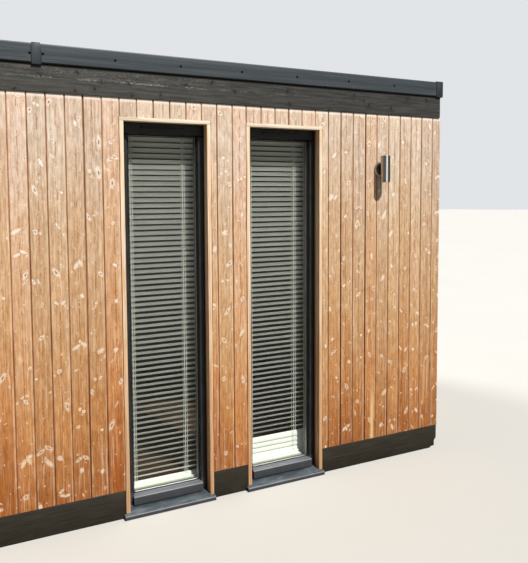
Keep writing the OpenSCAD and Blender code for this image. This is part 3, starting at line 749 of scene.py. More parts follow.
def ribbed_plastic(name):
    """Anthracite trim, with painted shade over its height: a near-black foot, a darker band across the middle and a
    darker top curve.
    """
    n = Tree(name)
    long = n.noise(n.vec(n.mul(n.x, 0.0022), n.mul(n.y, 0.0022), n.mul(n.z, 0.10)), 3, 0.6)
    peel = n.noise(n.pos, 2, 0.5, 700.0)
    base = n.mix(n.step(long, 0.3, 0.75), srgb(60, 68, 73), srgb(75, 83, 88))
    # painted shade: the near-black foot stands in for the trim's shadow, and the bands for how light falls across the
    # profile
    shade = n.ramp(n.step(n.z, 2395.0, 2495.0, smooth=False), [
        (0.0, (0.08, 0.08, 0.08, 1)), (0.065, (0.16, 0.16, 0.16, 1)), (0.10, (0.80, 0.81, 0.83, 1)), (0.34, (0.82, 0.83, 0.84, 1)),
        (0.42, (0.63, 0.64, 0.65, 1)), (0.60, (0.74, 0.75, 0.76, 1)), (0.86, (0.82, 0.84, 0.85, 1)), (0.93, (0.68, 0.74, 0.77, 1)), (1.0, (0.36, 0.40, 0.43, 1)),
    ])
    base = n.mix(1.0, base, shade, "MULTIPLY")
    # painted shade in the valleys between the ribs
    for rib in (11.8, 21.8, 31.8, 42.8):
        base = n.mix(n.mul(n.bell(n.sub(n.z, 2395.0 + rib), 1.7), 0.30), base, srgb(28, 32, 35))
    spots = n.noise(n.pos, 3, 0.6, 40.0)
    base = n.mix(n.mul(n.step(spots, 0.58, 0.78), 0.22), base, srgb(104, 109, 110))
    return n.surface(base, n.ma(long, 0.2, 0.36), n.bump(peel, 0.00008, 0.4), spec=0.5)


def metal(name, colour, rough, brushed=None):
    n = Tree(name)
    if brushed == "z":
        vec = n.vec(n.mul(n.x, 0.02), n.mul(n.y, 0.02), n.mul(n.z, 3.0))
    else:
        vec = n.vec(n.mul(n.x, 0.9), n.mul(n.y, 0.9), n.mul(n.z, 0.9))
    b = n.noise(vec, 3, 0.6)
    c = n.noise(n.pos, 3, 0.6, 30.0)
    base = n.mix(n.mul(c, 0.35), colour, tuple(0.72 * v for v in colour[:3]) + (1,))
    return n.surface(base, n.ma(b, 0.12, rough), n.bump(b, 0.00022 if brushed else 0.00005, 0.6 if brushed else 0.35), metal=1.0)


def turned(name):
    """Steel turned on a lathe: rings too fine to see, which draw each light out along the tube."""
    n = Tree(name)
    b = n.noise(n.vec(n.mul(n.x, 0.02), n.mul(n.y, 0.02), n.mul(n.z, 1.3)), 3, 0.6)
    c = n.noise(n.pos, 3, 0.6, 22.0)
    base = n.mix(n.mul(c, 0.5), (0.46, 0.45, 0.43, 1), (0.33, 0.33, 0.31, 1))
    # painted reflection: the side facing +X is tinted dark brown for the surroundings it mirrors
    g = n.t.nodes.new("ShaderNodeNewGeometry")
    painted_reflection_side = n.step(n.sep(g.outputs["Normal"])[0], 0.02, 0.30)
    base = n.mix(n.mul(painted_reflection_side, 0.85), base, (0.17, 0.125, 0.095, 1))
    return n.surface(base, n.ma(b, 0.06, 0.39), n.bump(b, 0.00005, 0.3), metal=1.0, Anisotropic=0.9, Anisotropic_Rotation=0.25)


def rubber(name, grey=24):
    n = Tree(name)
    c = n.noise(n.pos, 3, 0.6, 80.0)
    return n.surface(n.mix(c, srgb(grey, grey, grey), srgb(grey + 14, grey + 14, grey + 13)), 0.72, n.bump(c, 0.0001, 0.5), spec=0.3)


def paint(name, colour=(148, 148, 144), wrapped=False):
    """Rolled emulsion; a wrapped wall is black breather membrane on its outer faces."""
    n = Tree(name)
    r = n.noise(n.pos, 3, 0.6, 350.0)
    c = n.noise(n.pos, 3, 0.5, 1.6)
    base = n.mix(n.mul(c, 0.5), srgb(*colour), srgb(*(v - 8 for v in colour)))
    if wrapped:
        out = n.math("MAXIMUM", n.math("LESS_THAN", n.y, (FY + CLAD_T) * 1000 + 1.6), n.math("GREATER_THAN", n.y, (BY - CLAD_T) * 1000 - 1.6))
        out = n.math("MAXIMUM", out, n.math("GREATER_THAN", n.math("ABSOLUTE", n.x), (HL - CLAD_T) * 1000 - 1.6))
        base = n.mix(out, base, n.mix(c, srgb(14, 14, 14), srgb(22, 21, 20)))
    return n.surface(base, 0.78, n.bump(r, 0.00025, 0.5), spec=0.3)


def laminate(name):
    """Dark oak floor strips laid along the room, with a white board at the foot of each opening."""
    n = Tree(name)
    row = n.math("FLOOR", n.math("DIVIDE", n.y, 190.0))
    fy = n.sub(n.math("DIVIDE", n.y, 190.0), row)
    r = n.white(n.add(row, 3.5))
    sx = n.ma(r[0], 1285.0, n.x)
    col = n.math("FLOOR", n.math("DIVIDE", sx, 1285.0))
    fx = n.sub(n.math("DIVIDE", sx, 1285.0), col)
    rr = n.white(n.ma(col, 31.0, row))
    g = n.noise(n.vec(n.mul(n.x, 0.004), n.mul(n.y, 0.09), n.mul(n.add(row, n.mul(col, 7.0)), 3.3)), 4, 0.6)
    base = n.mix(n.step(g, 0.3, 0.7), srgb(102, 80, 60), srgb(80, 60, 44))
    tone = n.ma(rr[1], 0.2, 0.88)
    base = n.mix(1.0, base, n.vec(tone, tone, tone), "MULTIPLY")
    gap_y = n.math("MINIMUM", fy, n.sub(1.0, fy))
    gap_x = n.math("MINIMUM", fx, n.sub(1.0, fx))
    seam = n.math("MAXIMUM", n.step(gap_y, 0.009, 0.004), n.step(gap_x, 0.0014, 0.0006))
    base = n.mix(n.mul(seam, 0.7), base, srgb(36, 28, 20))
    base = n.mix(n.math("LESS_THAN", n.y, (FY + CLAD_T) * 1000 + 180.0), base, srgb(236, 236, 232))
    return n.surface(base, n.ma(g, 0.15, 0.32), n.bump(n.sub(n.mul(g, 0.2), seam), 0.0006, 0.6))


def membrane(name):
    """Dull sheet rubber with faint creases and silt."""
    n = Tree(name)
    crease = n.noise(n.vec(n.mul(n.x, 0.0025), n.mul(n.y, 0.004), 1.0), 5, 0.55, dist=0.6)
    silt = n.noise(n.pos, 4, 0.6, 2.4)
    spots = n.noise(n.pos, 3, 0.6, 60.0)
    base = n.mix(n.step(silt, 0.42, 0.70), srgb(58, 60, 62), srgb(82, 82, 78))
    base = n.mix(n.mul(n.step(spots, 0.6, 0.75), 0.4), base, srgb(104, 101, 94))
    return n.surface(base, n.ma(silt, 0.25, 0.6), n.bump(n.add(n.mul(crease, 1.0), n.mul(spots, 0.05)), 0.006, 0.5), spec=0.3)


def enamel(name):
    """White stoved enamel on the blinds."""
    n = Tree(name)
    c = n.noise(n.pos, 3, 0.5, 12.0)
    base = n.mix(c, srgb(249, 249, 252), srgb(245, 245, 248))
    return n.surface(base, n.ma(c, 0.12, 0.34), n.bump(n.noise(n.pos, 2, 0.5, 500.0), 0.00005, 0.3), spec=0.45)


def glazing(name, tint):
    """Clear pane: lets light and sight straight through, mirrors more at a glancing angle."""
    n = Tree(name)
    lw = n.t.nodes.new("ShaderNodeLayerWeight")
    lw.inputs["Blend"].default_value = 0.5
    fac = n.ma(n.pw(lw.outputs["Facing"], 5.0), 0.92, 0.012)
    smear = n.noise(n.vec(n.mul(n.x, 0.006), n.mul(n.y, 0.006), n.mul(n.z, 0.003)), 3, 0.6)
    tr = n.t.nodes.new("ShaderNodeBsdfTransparent")
    n.put(tr.inputs[0], n.mix(n.mul(smear, 0.4), tint, tuple(0.97 * v for v in tint[:3]) + (1,)))
    gl = n.t.nodes.new("ShaderNodeBsdfGlossy")
    gl.inputs["Color"].default_value = (1, 1, 1, 1)
    gl.inputs["Roughness"].default_value = 0.02
    mx = n.t.nodes.new("ShaderNodeMixShader")
    n.put(mx.inputs[0], fac)
    n.t.links.new(tr.outputs[0], mx.inputs[1])
    n.t.links.new(gl.outputs[0], mx.inputs[2])
    n.t.links.new(mx.outputs[0], n.out.inputs[0])
    return n.mat


LARCH_FRONT = larch("cladding_front", "x", FY, 1, JOINT_0, 7.0)
LARCH_BACK = larch("cladding_back", "x", BY, -1, -HL, 207.0)
LARCH_LEFT = larch("cladding_left", "y", -HL, 1, FY + CLAD_T, 407.0)
LARCH_RIGHT = larch("cladding_right", "y", HL, -1, FY + CLAD_T, 607.0)
LINER_LEG = planed("liner_upright", "z", 3.0, srgb(236, 212, 184), srgb(216, 180, 142), FY)
LINER_HEAD = planed("liner_level", "x", 5.0, srgb(236, 226, 206), srgb(224, 204, 178), FY)
FRAME = coated("frame_coat", srgb(33, 35, 36), 0.42, dust=0.13, top_dust_and_sheen=0.42)
BEADED_FRAME = coated("window_frame_coat", srgb(33, 35, 36), 0.42, dust=0.13, top_dust_and_sheen=0.42, beads=FY + 0.065)
SILL = pressed_sill("sill_coat")
TRIM = ribbed_plastic("trim_plastic")
COVER_PLASTIC = coated("trim_cover_plastic", srgb(44, 51, 56), 0.45, dust=0.25, dust_colour=(76, 84, 88), folds=HL)
SCREW = metal("screw_black", (0.03, 0.03, 0.032, 1), 0.28)
GASKET = rubber("gasket")
SPACER = metal("spacer_bar", (0.55, 0.56, 0.55, 1), 0.35)
SPACER_PAINTED_SHADE = rubber("pane_spacer_painted_shade", 66)
GLASS = glazing("window_glass", (0.990, 0.999, 0.981, 1))
WHITE = enamel("blind_enamel")
CORD = paint("blind_cord", (248, 248, 244))
STEEL = metal("polished_steel", (0.36, 0.345, 0.32, 1), 0.12, "z")
TURNED = turned("turned_steel")
# the rose's steel in a dark copy for its dish and a bright copy for its rim: painted reflection and painted highlight
ROSE_DISH_DARK_REFLECTION = metal("rose_dish_painted_reflection", (0.13, 0.095, 0.065, 1), 0.30)
ROSE_RIM_HIGHLIGHT = metal("rose_rim_painted_highlight", (0.70, 0.62, 0.53, 1), 0.40)
STEEL_FINE = metal("satin_steel", (0.60, 0.585, 0.56, 1), 0.24)
LENS = coated("lamp_lens", srgb(190, 192, 188), 0.2, dust=0.1)
WALL_PAINT = paint("wall_paint", wrapped=True)
CEILING_PAINT = paint("ceiling_paint", (160, 160, 156))
FLOOR = laminate("floor_laminate")
SHEET = membrane("roof_sheet")


# ------------------------------------------------------------------ cladding
def boards(name, node, axis, face, inward, lo, hi, joint, seed, mat, holes=(), gaps={}, shifts={}):
    """Upright boards with V joints, each its own closed solid, notched round the openings."""
    r = np.random.default_rng(seed)
    m = Mesh()
    k0 = math.floor((lo - joint) / COVER + 1e-6)
    k1 = math.ceil((hi - joint) / COVER - 1e-6)
    ts = np.linspace(0, 1, 7)
    joints = {}
    for j in range(k0, k1 + 1):
        wide = 1.8 + 2.0 * r.random() ** 2.0
        if r.random() < 0.14:
            wide += 1.8
        wide = gaps.get(j, wide)
        shift = shifts.get(j, r.normal(0, 0.9))
        sway = shift + np.interp(ts, [0, 0.33, 0.66, 1], r.normal(0, 0.4, 4))
        slack = np.interp(ts, [0, 0.35, 0.7, 1], r.normal(0, 0.22, 4)) * wide
        joints[j] = (sway, np.clip(wide + slack, 1.2, 6.5))
    bev = 4.2 * MM
    z0, z1 = BOARD_Z0, BOARD_Z1
    back = CLAD_T

    def point(u, d, z):
        w = face + d * inward
        return (u, w, z) if axis == "x" else (w, u, z)

    for k in range(k0, k1):
        a, b = joint + k * COVER, joint + (k + 1) * COVER
        first, last = a <= lo + 1e-6, b >= hi - 1e-6
        sl, gl = joints[k]
        sr, gr = joints[k + 1]
        left = np.full(7, lo) if first else a + (sl + gl / 2) * MM
        right = np.full(7, hi) if last else b + (sr - gr / 2) * MM
        if right.min() - left.max() < 6 * MM:
            continue
        d0 = 0.0 if r.random() < 0.5 else abs(r.normal(0, 0.35)) * MM
        foot = abs(r.normal(0, 0.4)) * MM
        cut = [h for h in holes if h[0] < right.max() - 1e-4 and h[1] > left.min() + 1e-4]
        zs = sorted({*(z0 + ts * (z1 - z0)), *(h[2] for h in cut)})
        lb = 0.6 * MM if first else bev
        rb = 0.6 * MM if last else bev
        # crossing places: distance from the left or the right edge, or fixed
        marks = [("l", 0.0, lb), ("l", lb, 0.0), ("r", rb, 0.0), ("r", 0.0, rb)]
        for h in cut:
            for e in (h[0], h[1]):
                if left.max() + 1e-4 < e < right.min() - 1e-4:
                    marks.append(("f", e, None))

        def where(mk, z):
            t = (z - z0) / (z1 - z0)
            L, R = np.interp(t, ts, left), np.interp(t, ts, right)
            if mk[0] == "l":
                return L + mk[1]
            if mk[0] == "r":
                return R - mk[1]
            return mk[1]

        def sunk(u, z):
            t = (z - z0) / (z1 - z0)
            L, R = np.interp(t, ts, left), np.interp(t, ts, right)
            return d0 + max(0.0, lb - (u - L), rb - (R - u))

        marks.sort(key=lambda mk: where(mk, z0))
        grid = [[(where(mk, z), z) for z in zs] for mk in marks]
        cells = set()
        for i in range(len(marks) - 1):
            for j in range(len(zs) - 1):
                cu = (grid[i][j][0] + grid[i + 1][j][0]) / 2
                cz = (zs[j] + zs[j + 1]) / 2
                if grid[i + 1][j][0] - grid[i][j][0] < 1e-6:
                    continue
                if any(h[0] < cu < h[1] and cz < h[2] for h in cut):
                    continue
                cells.add((i, j))
        if not cells:
            continue
        verts, index = [], {}

        def vert(i, j, behind):
            key = (i, j, behind)
            if key not in index:
                u, z = grid[i][j]
                zz = z + (foot if j == 0 else 0.0)
                index[key] = len(verts)
                verts.append(point(u, back if behind else sunk(u, z), zz))
            return index[key]

        faces = []
        for i, j in cells:
            q = [(i, j), (i + 1, j), (i + 1, j + 1), (i, j + 1)]
            faces.append([vert(p, s, False) for p, s in q])
            faces.append([vert(p, s, True) for p, s in reversed(q)])
            for (p, s), (p2, s2), other in (
                (q[0], q[1], (i, j - 1)), (q[1], q[2], (i + 1, j)), (q[2], q[3], (i, j + 1)), (q[3], q[0], (i - 1, j)),
            ):
                if other not in cells:
                    faces.append([vert(p, s, False), vert(p, s, True), vert(p2, s2, True), vert(p2, s2, False)])
        bm = bmesh.new()
        vs = [bm.verts.new(v) for v in verts]
        for f in faces:
            bm.faces.new([vs[x] for x in f])
        bmesh.ops.recalc_face_normals(bm, faces=bm.faces)
        m.bm(bm)
        # the tongue that shows at the bottom of the joint on the right
        if not last:
            top = z1 - 1 * MM
            e = joint + (k + 1) * COVER
            low = z0 + 1 * MM
            for h in holes:
                if h[0] - 4 * MM < e < h[1] + 4 * MM:
                    low = h[2] + 1 * MM
            p, q = point(e - 5 * MM, 8.5 * MM, low), point(e + 5 * MM, 13 * MM, top)
            m.box([min(p[i], q[i]) for i in range(3)], [max(p[i], q[i]) for i in range(3)])
    ob = piece(name, m, mat, node, 20)
    return ob


def hole(node):
    lo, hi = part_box(node)
    return (lo.x - 3.2 * MM, hi.x + 3.2 * MM, hi.z + 0.5 * MM)


HOLES = [hole("window_1_liner"), hole("window_2_liner"), hole("door_liner")]
# some joints have opened or closed as the boards dried; the uneven ones are kept
boards(
    "front_boards", "front_cladding", "x", FY, 1, -HL, HL, JOINT_0, 11, LARCH_FRONT, HOLES,
    {0: 1.8, 1: 2.4, 2: 3.0, 3: 1.6, 4: 4.6, 5: 3.0, 11: 2.4, 12: 2.6, 13: 2.8, 14: 2.8, 20: 1.7, 21: 4.2, 22: 2.5,
     23: 4.4, 24: 2.9, 25: 2.3, 26: 2.6, 27: 2.2, 28: 3.0, 29: 2.6},
    {0: 2.0, 1: 0.5, 4: -1.0, 12: -1.0, 13: 2.0, 14: -2.5, 20: 2.5, 21: 2.0, 22: 1.5, 23: 4.0, 24: 0.5, 25: 2.0,
     26: 1.5, 27: -0.8, 28: -4.0, 29: -3.0},
)
boards("back_boards", "back_cladding", "x", BY, -1, -HL, HL, -HL, 12, LARCH_BACK)
side_lo, side_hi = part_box("left_cladding")
boards("left_boards", "left_cladding", "y", -HL, 1, side_lo.y, side_hi.y, FY + CLAD_T, 13, LARCH_LEFT)
boards("right_boards", "right_cladding", "y", HL, -1, side_lo.y, side_hi.y, FY + CLAD_T, 14, LARCH_RIGHT)


# ------------------------------------------------------------------ plinth and fascia
def long_boards(name, node, lo, hi, mat, cuts=(), bevel=1.2 * MM, axis="x"):
    """A level board, in lengths that meet at cuts."""
    m = Mesh()
    i = 0 if axis == "x" else 1
    ends = [lo[i], *cuts, hi[i]]
    for a, b in zip(ends, ends[1:]):
        p, q = list(lo), list(hi)
        p[i] = a if a == lo[i] else a + 0.4 * MM
        q[i] = b if b == hi[i] else b - 0.4 * MM
        m.box(p, q, bevel, 2)
    return piece(name, m, mat, node)


PLINTH_X = plinth_wood("plinth_front", "x", 1.0)
PLINTH_X2 = plinth_wood("plinth_back", "x", 2.0)
PLINTH_Y = plinth_wood("plinth_sides", "y", 3.0)
plo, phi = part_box("front_plinth")
m = Mesh()
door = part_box("door_liner")
win1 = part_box("window_1_liner")
win2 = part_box("window_2_liner")
g = 2.0 * MM
for a, b in ((plo.x, door[0].x - g), (door[1].x + g, win1[0].x - g), (win1[1].x + g, win2[0].x - g)):
    m.box((a, plo.y, 0), (b, phi.y, phi.z), 1.2 * MM, 2)
m.solid(
    [(win2[1].x + g, 0), (phi.x - 52 * MM, 0), (phi.x, 66 * MM), (phi.x, phi.z), (win2[1].x + g, phi.z)],
    "y", plo.y, phi.y, 1.2 * MM, 2,
)
piece("front_plinth_boards", m, PLINTH_X, "front_plinth")
for n_, mt in (("back_plinth", PLINTH_X2), ("left_plinth", PLINTH_Y), ("right_plinth", PLINTH_Y)):
    lo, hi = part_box(n_)
    long_boards(n_ + "_board", n_, lo, hi, mt, (0.12,) if n_[0] == "b" else (), axis="x" if n_[0] == "b" else "y")


def sawn_board(name, node, axis, face_lo, mat):
    """Rough-sawn board: its face waves a little and its lower edge is not quite straight."""
    lo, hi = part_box(node)
    m = Mesh()
    i = 0 if axis == "x" else 1
    r = np.random.default_rng(31 if node[0] == "f" else 47)
    length = hi[i] - lo[i]
    nu = int(length / 0.06)
    nz = 9
    us = np.linspace(lo[i], hi[i], nu + 1)
    zs = np.linspace(lo.z, hi.z, nz + 1)
    j = 1 - i
    front, rear = (lo[j], hi[j]) if face_lo else (hi[j], lo[j])
    s = 1 if rear > front else -1
    wave = np.zeros((nu + 1, nz + 1))
    for _ in range(9):
        fu, fz, ph = r.uniform(4, 40), r.uniform(5, 45), r.uniform(0, 6.28, 2)
        wave += np.sin(us[:, None] * fu + ph[0]) * np.sin(zs[None] * fz + ph[1]) / fu**0.3
    wave = (wave - wave.min()) / (wave.max() - wave.min()) * 0.9 * MM
    edge = np.interp(us, us[::7], r.uniform(0, 1.0, len(us[::7]))) * MM
    bm = bmesh.new()

    def pt(u, w, z):
        return (u, w, z) if axis == "x" else (w, u, z)

    fr = [[bm.verts.new(pt(us[a], front + s * (wave[a, b] + (1.0 * MM if b in (0, nz) else 0)), zs[b] + (edge[a] if b == 0 else 0))) for b in range(nz + 1)] for a in range(nu + 1)]
    bk = [[bm.verts.new(pt(us[a], rear, zs[b] + (edge[a] if b == 0 else 0))) for b in (0, nz)] for a in range(nu + 1)]
    for a in range(nu):
        for b in range(nz):
            bm.faces.new((fr[a][b], fr[a + 1][b], fr[a + 1][b + 1], fr[a][b + 1]))
        bm.faces.new((bk[a][0], bk[a][1], bk[a + 1][1], bk[a + 1][0]))
        bm.faces.new((fr[a][0], bk[a][0], bk[a + 1][0], fr[a + 1][0]))
        bm.faces.new((fr[a][nz], fr[a + 1][nz], bk[a + 1][1], bk[a][1]))
    for a in (0, nu):
        bm.faces.new([fr[a][b] for b in range(nz + 1)] + [bk[a][1], bk[a][0]])
    bmesh.ops.recalc_face_normals(bm, faces=bm.faces)
    m.bm(bm)
    return piece(name, m, mat, node)


flo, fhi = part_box("front_fascia")
sawn_board("front_fascia_board", "front_fascia", "x", True, fascia_wood("fascia_front", "x", flo.z, fhi.z, 1.0, True))
sawn_board("back_fascia_board", "back_fascia", "x", False, fascia_wood("fascia_back", "x", flo.z, fhi.z, 4.0))
FASCIA_SIDE = fascia_wood("fascia_sides", "y", flo.z, fhi.z, 2.0)
sawn_board("left_fascia_board", "left_fascia", "y", True, FASCIA_SIDE)
sawn_board("right_fascia_board", "right_fascia", "y", False, FASCIA_SIDE)


# ------------------------------------------------------------------ roof
def trim_profile(width, height, inner):
    """Section of the ribbed edge trim as (distance behind its face, height over its foot)."""
    out = [(5.0, 0.0), (4.0, 0.3), (0.9, 3.6), (0.2, 4.6), (0.0, 6.0)]
    for z in (9.0, 19.0, 29.0, 40.0):
        out += [(0.0, z), (0.22, z + 2.2), (0.22, z + 3.4), (0.0, z + 5.6)]
    out += [(0.0, 56.0), (0.15, 66.0), (0.4, 78.0), (0.7, height - 6.0)]
    for t in np.linspace(0, 90, 7)[1:]:
        a = math.radians(t)
        out.append((0.7 + 5.5 * (1 - math.cos(a)), height - 6.0 + 6.0 * math.sin(a)))
    out += [(width - 5.0, height), (width - 1.0, height - 1.2), (width, height - 4.0), (width, inner)]
    back = [(width - 2.4, inner), (width - 2.4, height - 4.5), (width - 5.5, height - 2.6), (11.0, height - 2.6), (4.6, height - 9.5), (3.6, 52.0), (3.6, 8.0), (8.6, 2.4)]
    return [(a * MM, b * MM) for a, b in out + back]


def long_trim(name, node, axis, face_lo, strap):
    lo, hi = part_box(node)
    m = Mesh()
    i = 0 if axis == "x" else 1
    j = 1 - i
    prof = trim_profile((hi[j] - lo[j]) / MM, (hi.z - lo.z) / MM, 52.0)
    face = lo[j] if face_lo else hi[j]
    s = 1 if face_lo else -1
    poly = [(face + s * a, lo.z + b) for a, b in prof]
    ends = [lo[i], *([0.0] if strap else []), hi[i]]
    for a, b in zip(ends, ends[1:]):
        a2 = a + (1.5 * MM if a != lo[i] else 0)
        b2 = b - (1.5 * MM if b != hi[i] else 0)
        if axis == "x":
            m.solid(poly, "x", a2, b2)
        else:
            m.solid([(p, q) for p, q in poly], "y", a2, b2)
    return piece(name, m, TRIM, node, 25)


long_trim("front_trim_profile", "front_roof_trim", "x", True, True)
long_trim("back_trim_profile", "back_roof_trim", "x", False, True)
long_trim("left_trim_profile", "left_roof_trim", "y", True, False)
long_trim("right_trim_profile", "right_roof_trim", "y", False, False)

tlo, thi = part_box("front_roof_trim")
blo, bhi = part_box("back_roof_trim")
clo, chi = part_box("roof_trim_covers")
m = Mesh()
TZ, TT = tlo.z, thi.z


def plate(m, pts, axis, a, b, bevel=0.5 * MM):
    m.solid(pts, axis, min(a, b), max(a, b), bevel, 2)


for sx in (-1, 1):
    for sy in (-1, 1):
        ex = chi.x * sx
        ey = clo.y if sy < 0 else chi.y
        ty = tlo.y if sy < 0 else bhi.y
        tx = thi.x * sx
        # face plate, a little narrower at its foot
        w, z0, z1 = 50 * MM, TZ - 4 * MM, chi.z - 2.0 * MM
        foot = 4 * MM
        plate(m, [(ex, z0 + 2 * MM), (ex, z1), (ex - sx * w, z1), (ex - sx * w, z0 + 12 * MM), (ex - sx * (w - foot), z0)], "y", ey, ty - sy * 0.0 + (0.15 * MM) * sy)
        plate(m, [(ey - sy * 2.6 * MM, z0 + 2 * MM), (ey - sy * 2.6 * MM, z1), (ey - sy * w, z1), (ey - sy * w, z0 + 12 * MM), (ey - sy * (w - foot), z0)], "x", ex, tx + 0.15 * MM * sx)
        # cap
        cx0, cx1 = sorted((ex, ex - sx * 54 * MM))
        cy0, cy1 = sorted((ey, ey - sy * 54 * MM))
        m.box((cx0, cy0, TT + 0.2 * MM), (cx1, cy1, chi.z), 0.8 * MM, 2)
        # bead of black sealant along the plate's edge; it also stands in for the shade along that edge
        sy0, sy1 = sorted((ey - sy * 0.7 * MM, ty))
        sx0, sx1 = sorted((ex - sx * 50.2 * MM, ex - sx * 53.4 * MM))
        m.box((sx0, sy0, TZ + 2 * MM), (sx1, sy1, TT - 4 * MM), 0.4 * MM, 1, 1)
for sy in (-1, 1):
    ey = clo.y if sy < 0 else chi.y
    ty = tlo.y if sy < 0 else bhi.y
    # strap over the butt joint, its upper corners clipped
    z0 = TZ - 8 * MM
    plate(m, [(-22 * MM, z0 + 1 * MM), (22 * MM, z0 + 1 * MM), (24 * MM, z0 + 5 * MM), (24 * MM, TT - 34 * MM), (19 * MM, TT), (-22 * MM, TT), (-24 * MM, TT - 20 * MM), (-24 * MM, z0 + 5 * MM)], "y", ey, ty + 0.15 * MM * sy, 0.5 * MM)
    y0, y1 = sorted((ey + 0.3 * MM * -sy, ey - sy * 54 * MM))
    m.box((-21 * MM, y0, TT + 0.2 * MM), (19 * MM, y1, chi.z), 0.8 * MM, 2)
piece("trim_corner_and_joint_covers", m, [COVER_PLASTIC, GASKET], "roof_trim_covers")

# fixing screws with dished heads
m = Mesh()
xs_right = [-30, 31, 382, 732, 1091, 1445, 1806, 2150]
xs_all = sorted({*xs_right, *(-x for x in xs_right if x > 100)})
dome = [(0.0, -0.5), (1.4, -1.0), (2.2, -2.1), (4.0, -1.8), (4.8, -1.0), (5.0, -0.3), (7.0, -0.25), (7.2, 0.4), (7.0, 1.2), (0.0, 1.2)]
for x in xs_all:
    m.lathe([(r_ * MM, h * MM) for r_, h in dome], (x * MM, tlo.y, 2442 * MM), "y", 20)
    m.lathe([(r_ * MM, -h * MM) for r_, h in dome], (x * MM, bhi.y, 2442 * MM), "y", 20)
for y in np.linspace(FY + 0.25, BY - 0.25, 8):
    for sx in (-1, 1):
        m.lathe([(r_ * MM, -sx * h * MM) for r_, h in dome], (thi.x * sx, y, 2442 * MM), "x", 20)
piece("trim_screws", m, SCREW, ())

# roof sheet, turned up behind the trims
rlo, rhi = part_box("roof_membrane")
m = Mesh()
bm = bmesh.new()
nx, ny = 60, 36
r = np.random.default_rng(5)
gx = np.linspace(rlo.x + 1 * MM, rhi.x - 1 * MM, nx + 1)
gy = np.linspace(rlo.y + 1 * MM, rhi.y - 1 * MM, ny + 1)
hh = np.zeros((nx + 1, ny + 1))
for _ in range(14):
    fx, fy_, ph = r.uniform(1, 14), r.uniform(1, 14), r.uniform(0, 6.28)
    hh += np.sin(gx[:, None] * fx + gy[None] * fy_ + ph) / (fx + fy_)
hh = (hh - hh.max()) / (hh.max() - hh.min()) * 5 * MM
top = [[bm.verts.new((gx[i], gy[j], rhi.z + hh[i, j])) for j in range(ny + 1)] for i in range(nx + 1)]
bot = [[bm.verts.new((gx[i], gy[j], rlo.z + 1 * MM)) for j in (0, ny)] for i in (0, nx)]
for i in range(nx):
    for j in range(ny):
        bm.faces.new((top[i][j], top[i + 1][j], top[i + 1][j + 1], top[i][j + 1]))
bm.faces.new((bot[0][0], bot[0][1], bot[1][1], bot[1][0]))
bm.faces.new([top[i][0] for i in range(nx + 1)] + [bot[1][0], bot[0][0]])
bm.faces.new([top[i][ny] for i in range(nx + 1)] + [bot[1][1], bot[0][1]])
bm.faces.new([top[0][j] for j in range(ny + 1)] + [bot[0][1], bot[0][0]])
bm.faces.new([top[nx][j] for j in range(ny + 1)] + [bot[1][1], bot[1][0]])
bmesh.ops.recalc_face_normals(bm, faces=bm.faces)
m.bm(bm)
piece("roof_sheet_rubber", m, SHEET, "roof_membrane")


# ------------------------------------------------------------------ openings
def edges(node):
    lo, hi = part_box(node)
    return lo.x - 0.5 * MM, hi.x + 0.5 * MM


NOSE_H, SILL_BACK, NOSE_OUT, REVEAL, FRAME_D = 22 * MM, 38 * MM, 28 * MM, 65 * MM, 70 * MM


def sill_z(d):
    return NOSE_H + (SILL_BACK - NOSE_H) * (d + NOSE_OUT) / (REVEAL + NOSE_OUT)


def liner(name, node):
    """Timber lining: two legs on the sill and a head board lying over them."""
    x0, x1 = edges(node)
    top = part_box(node)[1].z
    t, th = 22 * MM, 19 * MM
    m = Mesh()
    e = 0.5 * MM
    for a, b in ((x0 + e, x0 + t), (x1 - t, x1 - e)):
        m.solid(
            [(FY - 2 * MM, sill_z(-2 * MM) + e), (FY + REVEAL - e, SILL_BACK + e),
             (FY + REVEAL - e, top - th - e), (FY - 2 * MM, top - th - e)],
            "x", a, b, 0.9 * MM, 2, 0,
        )
    m.box((x0 + e, FY - 2 * MM, top - th), (x1 - e, FY + REVEAL - e, top), 0.9 * MM, 2, 1)
    return piece(name, m, [LINER_LEG, LINER_HEAD], node)


def sill(name, node):
    """Pressed metal sill: rolled nose, sloping top, turned-up back and end caps."""
    lo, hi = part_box(node)
    x0, x1 = lo.x + 11 * MM, hi.x - 3 * MM
    m = Mesh()
    m.solid(
        [(FY - 3 * MM, 0), (FY - 3 * MM, sill_z(-3 * MM)), (FY + REVEAL, SILL_BACK), (FY + REVEAL + FRAME_D, SILL_BACK), (FY + REVEAL + FRAME_D, 0)],
        "x", x0 + 0.5 * MM, x1 - 0.5 * MM,
    )
    n0 = FY - NOSE_OUT
    nose = [(n0 + 1.5 * MM, 0.6 * MM), (n0, 2.5 * MM), (n0, NOSE_H - 4.0 * MM), (n0 + 0.7 * MM, NOSE_H - 1.9 * MM), (n0 + 2.2 * MM, NOSE_H - 0.5 * MM), (n0 + 4.5 * MM, sill_z(-NOSE_OUT + 4.5 * MM) - 0.05 * MM), (FY - 3.5 * MM, sill_z(-3.5 * MM)), (FY - 3.5 * MM, 0.6 * MM)]
    m.solid(nose, "x", lo.x + 2.2 * MM, hi.x - 2.0 * MM)
    cap = [(n0 + 0.3 * MM, 0.0), (n0, 1.5 * MM), (n0, NOSE_H - 3 * MM), (n0 + 2.5 * MM, NOSE_H), (FY - 3.5 * MM, sill_z(-3.5 * MM)), (FY - 3.5 * MM, 0.0)]
    m.solid(cap, "x", lo.x, lo.x + 2.0 * MM, 0.4 * MM, 1, 1)
    m.solid(cap, "x", hi.x - 1.8 * MM, hi.x, 0.4 * MM, 1, 1)
    return piece(name, m, [SILL, FRAME], node, 28)


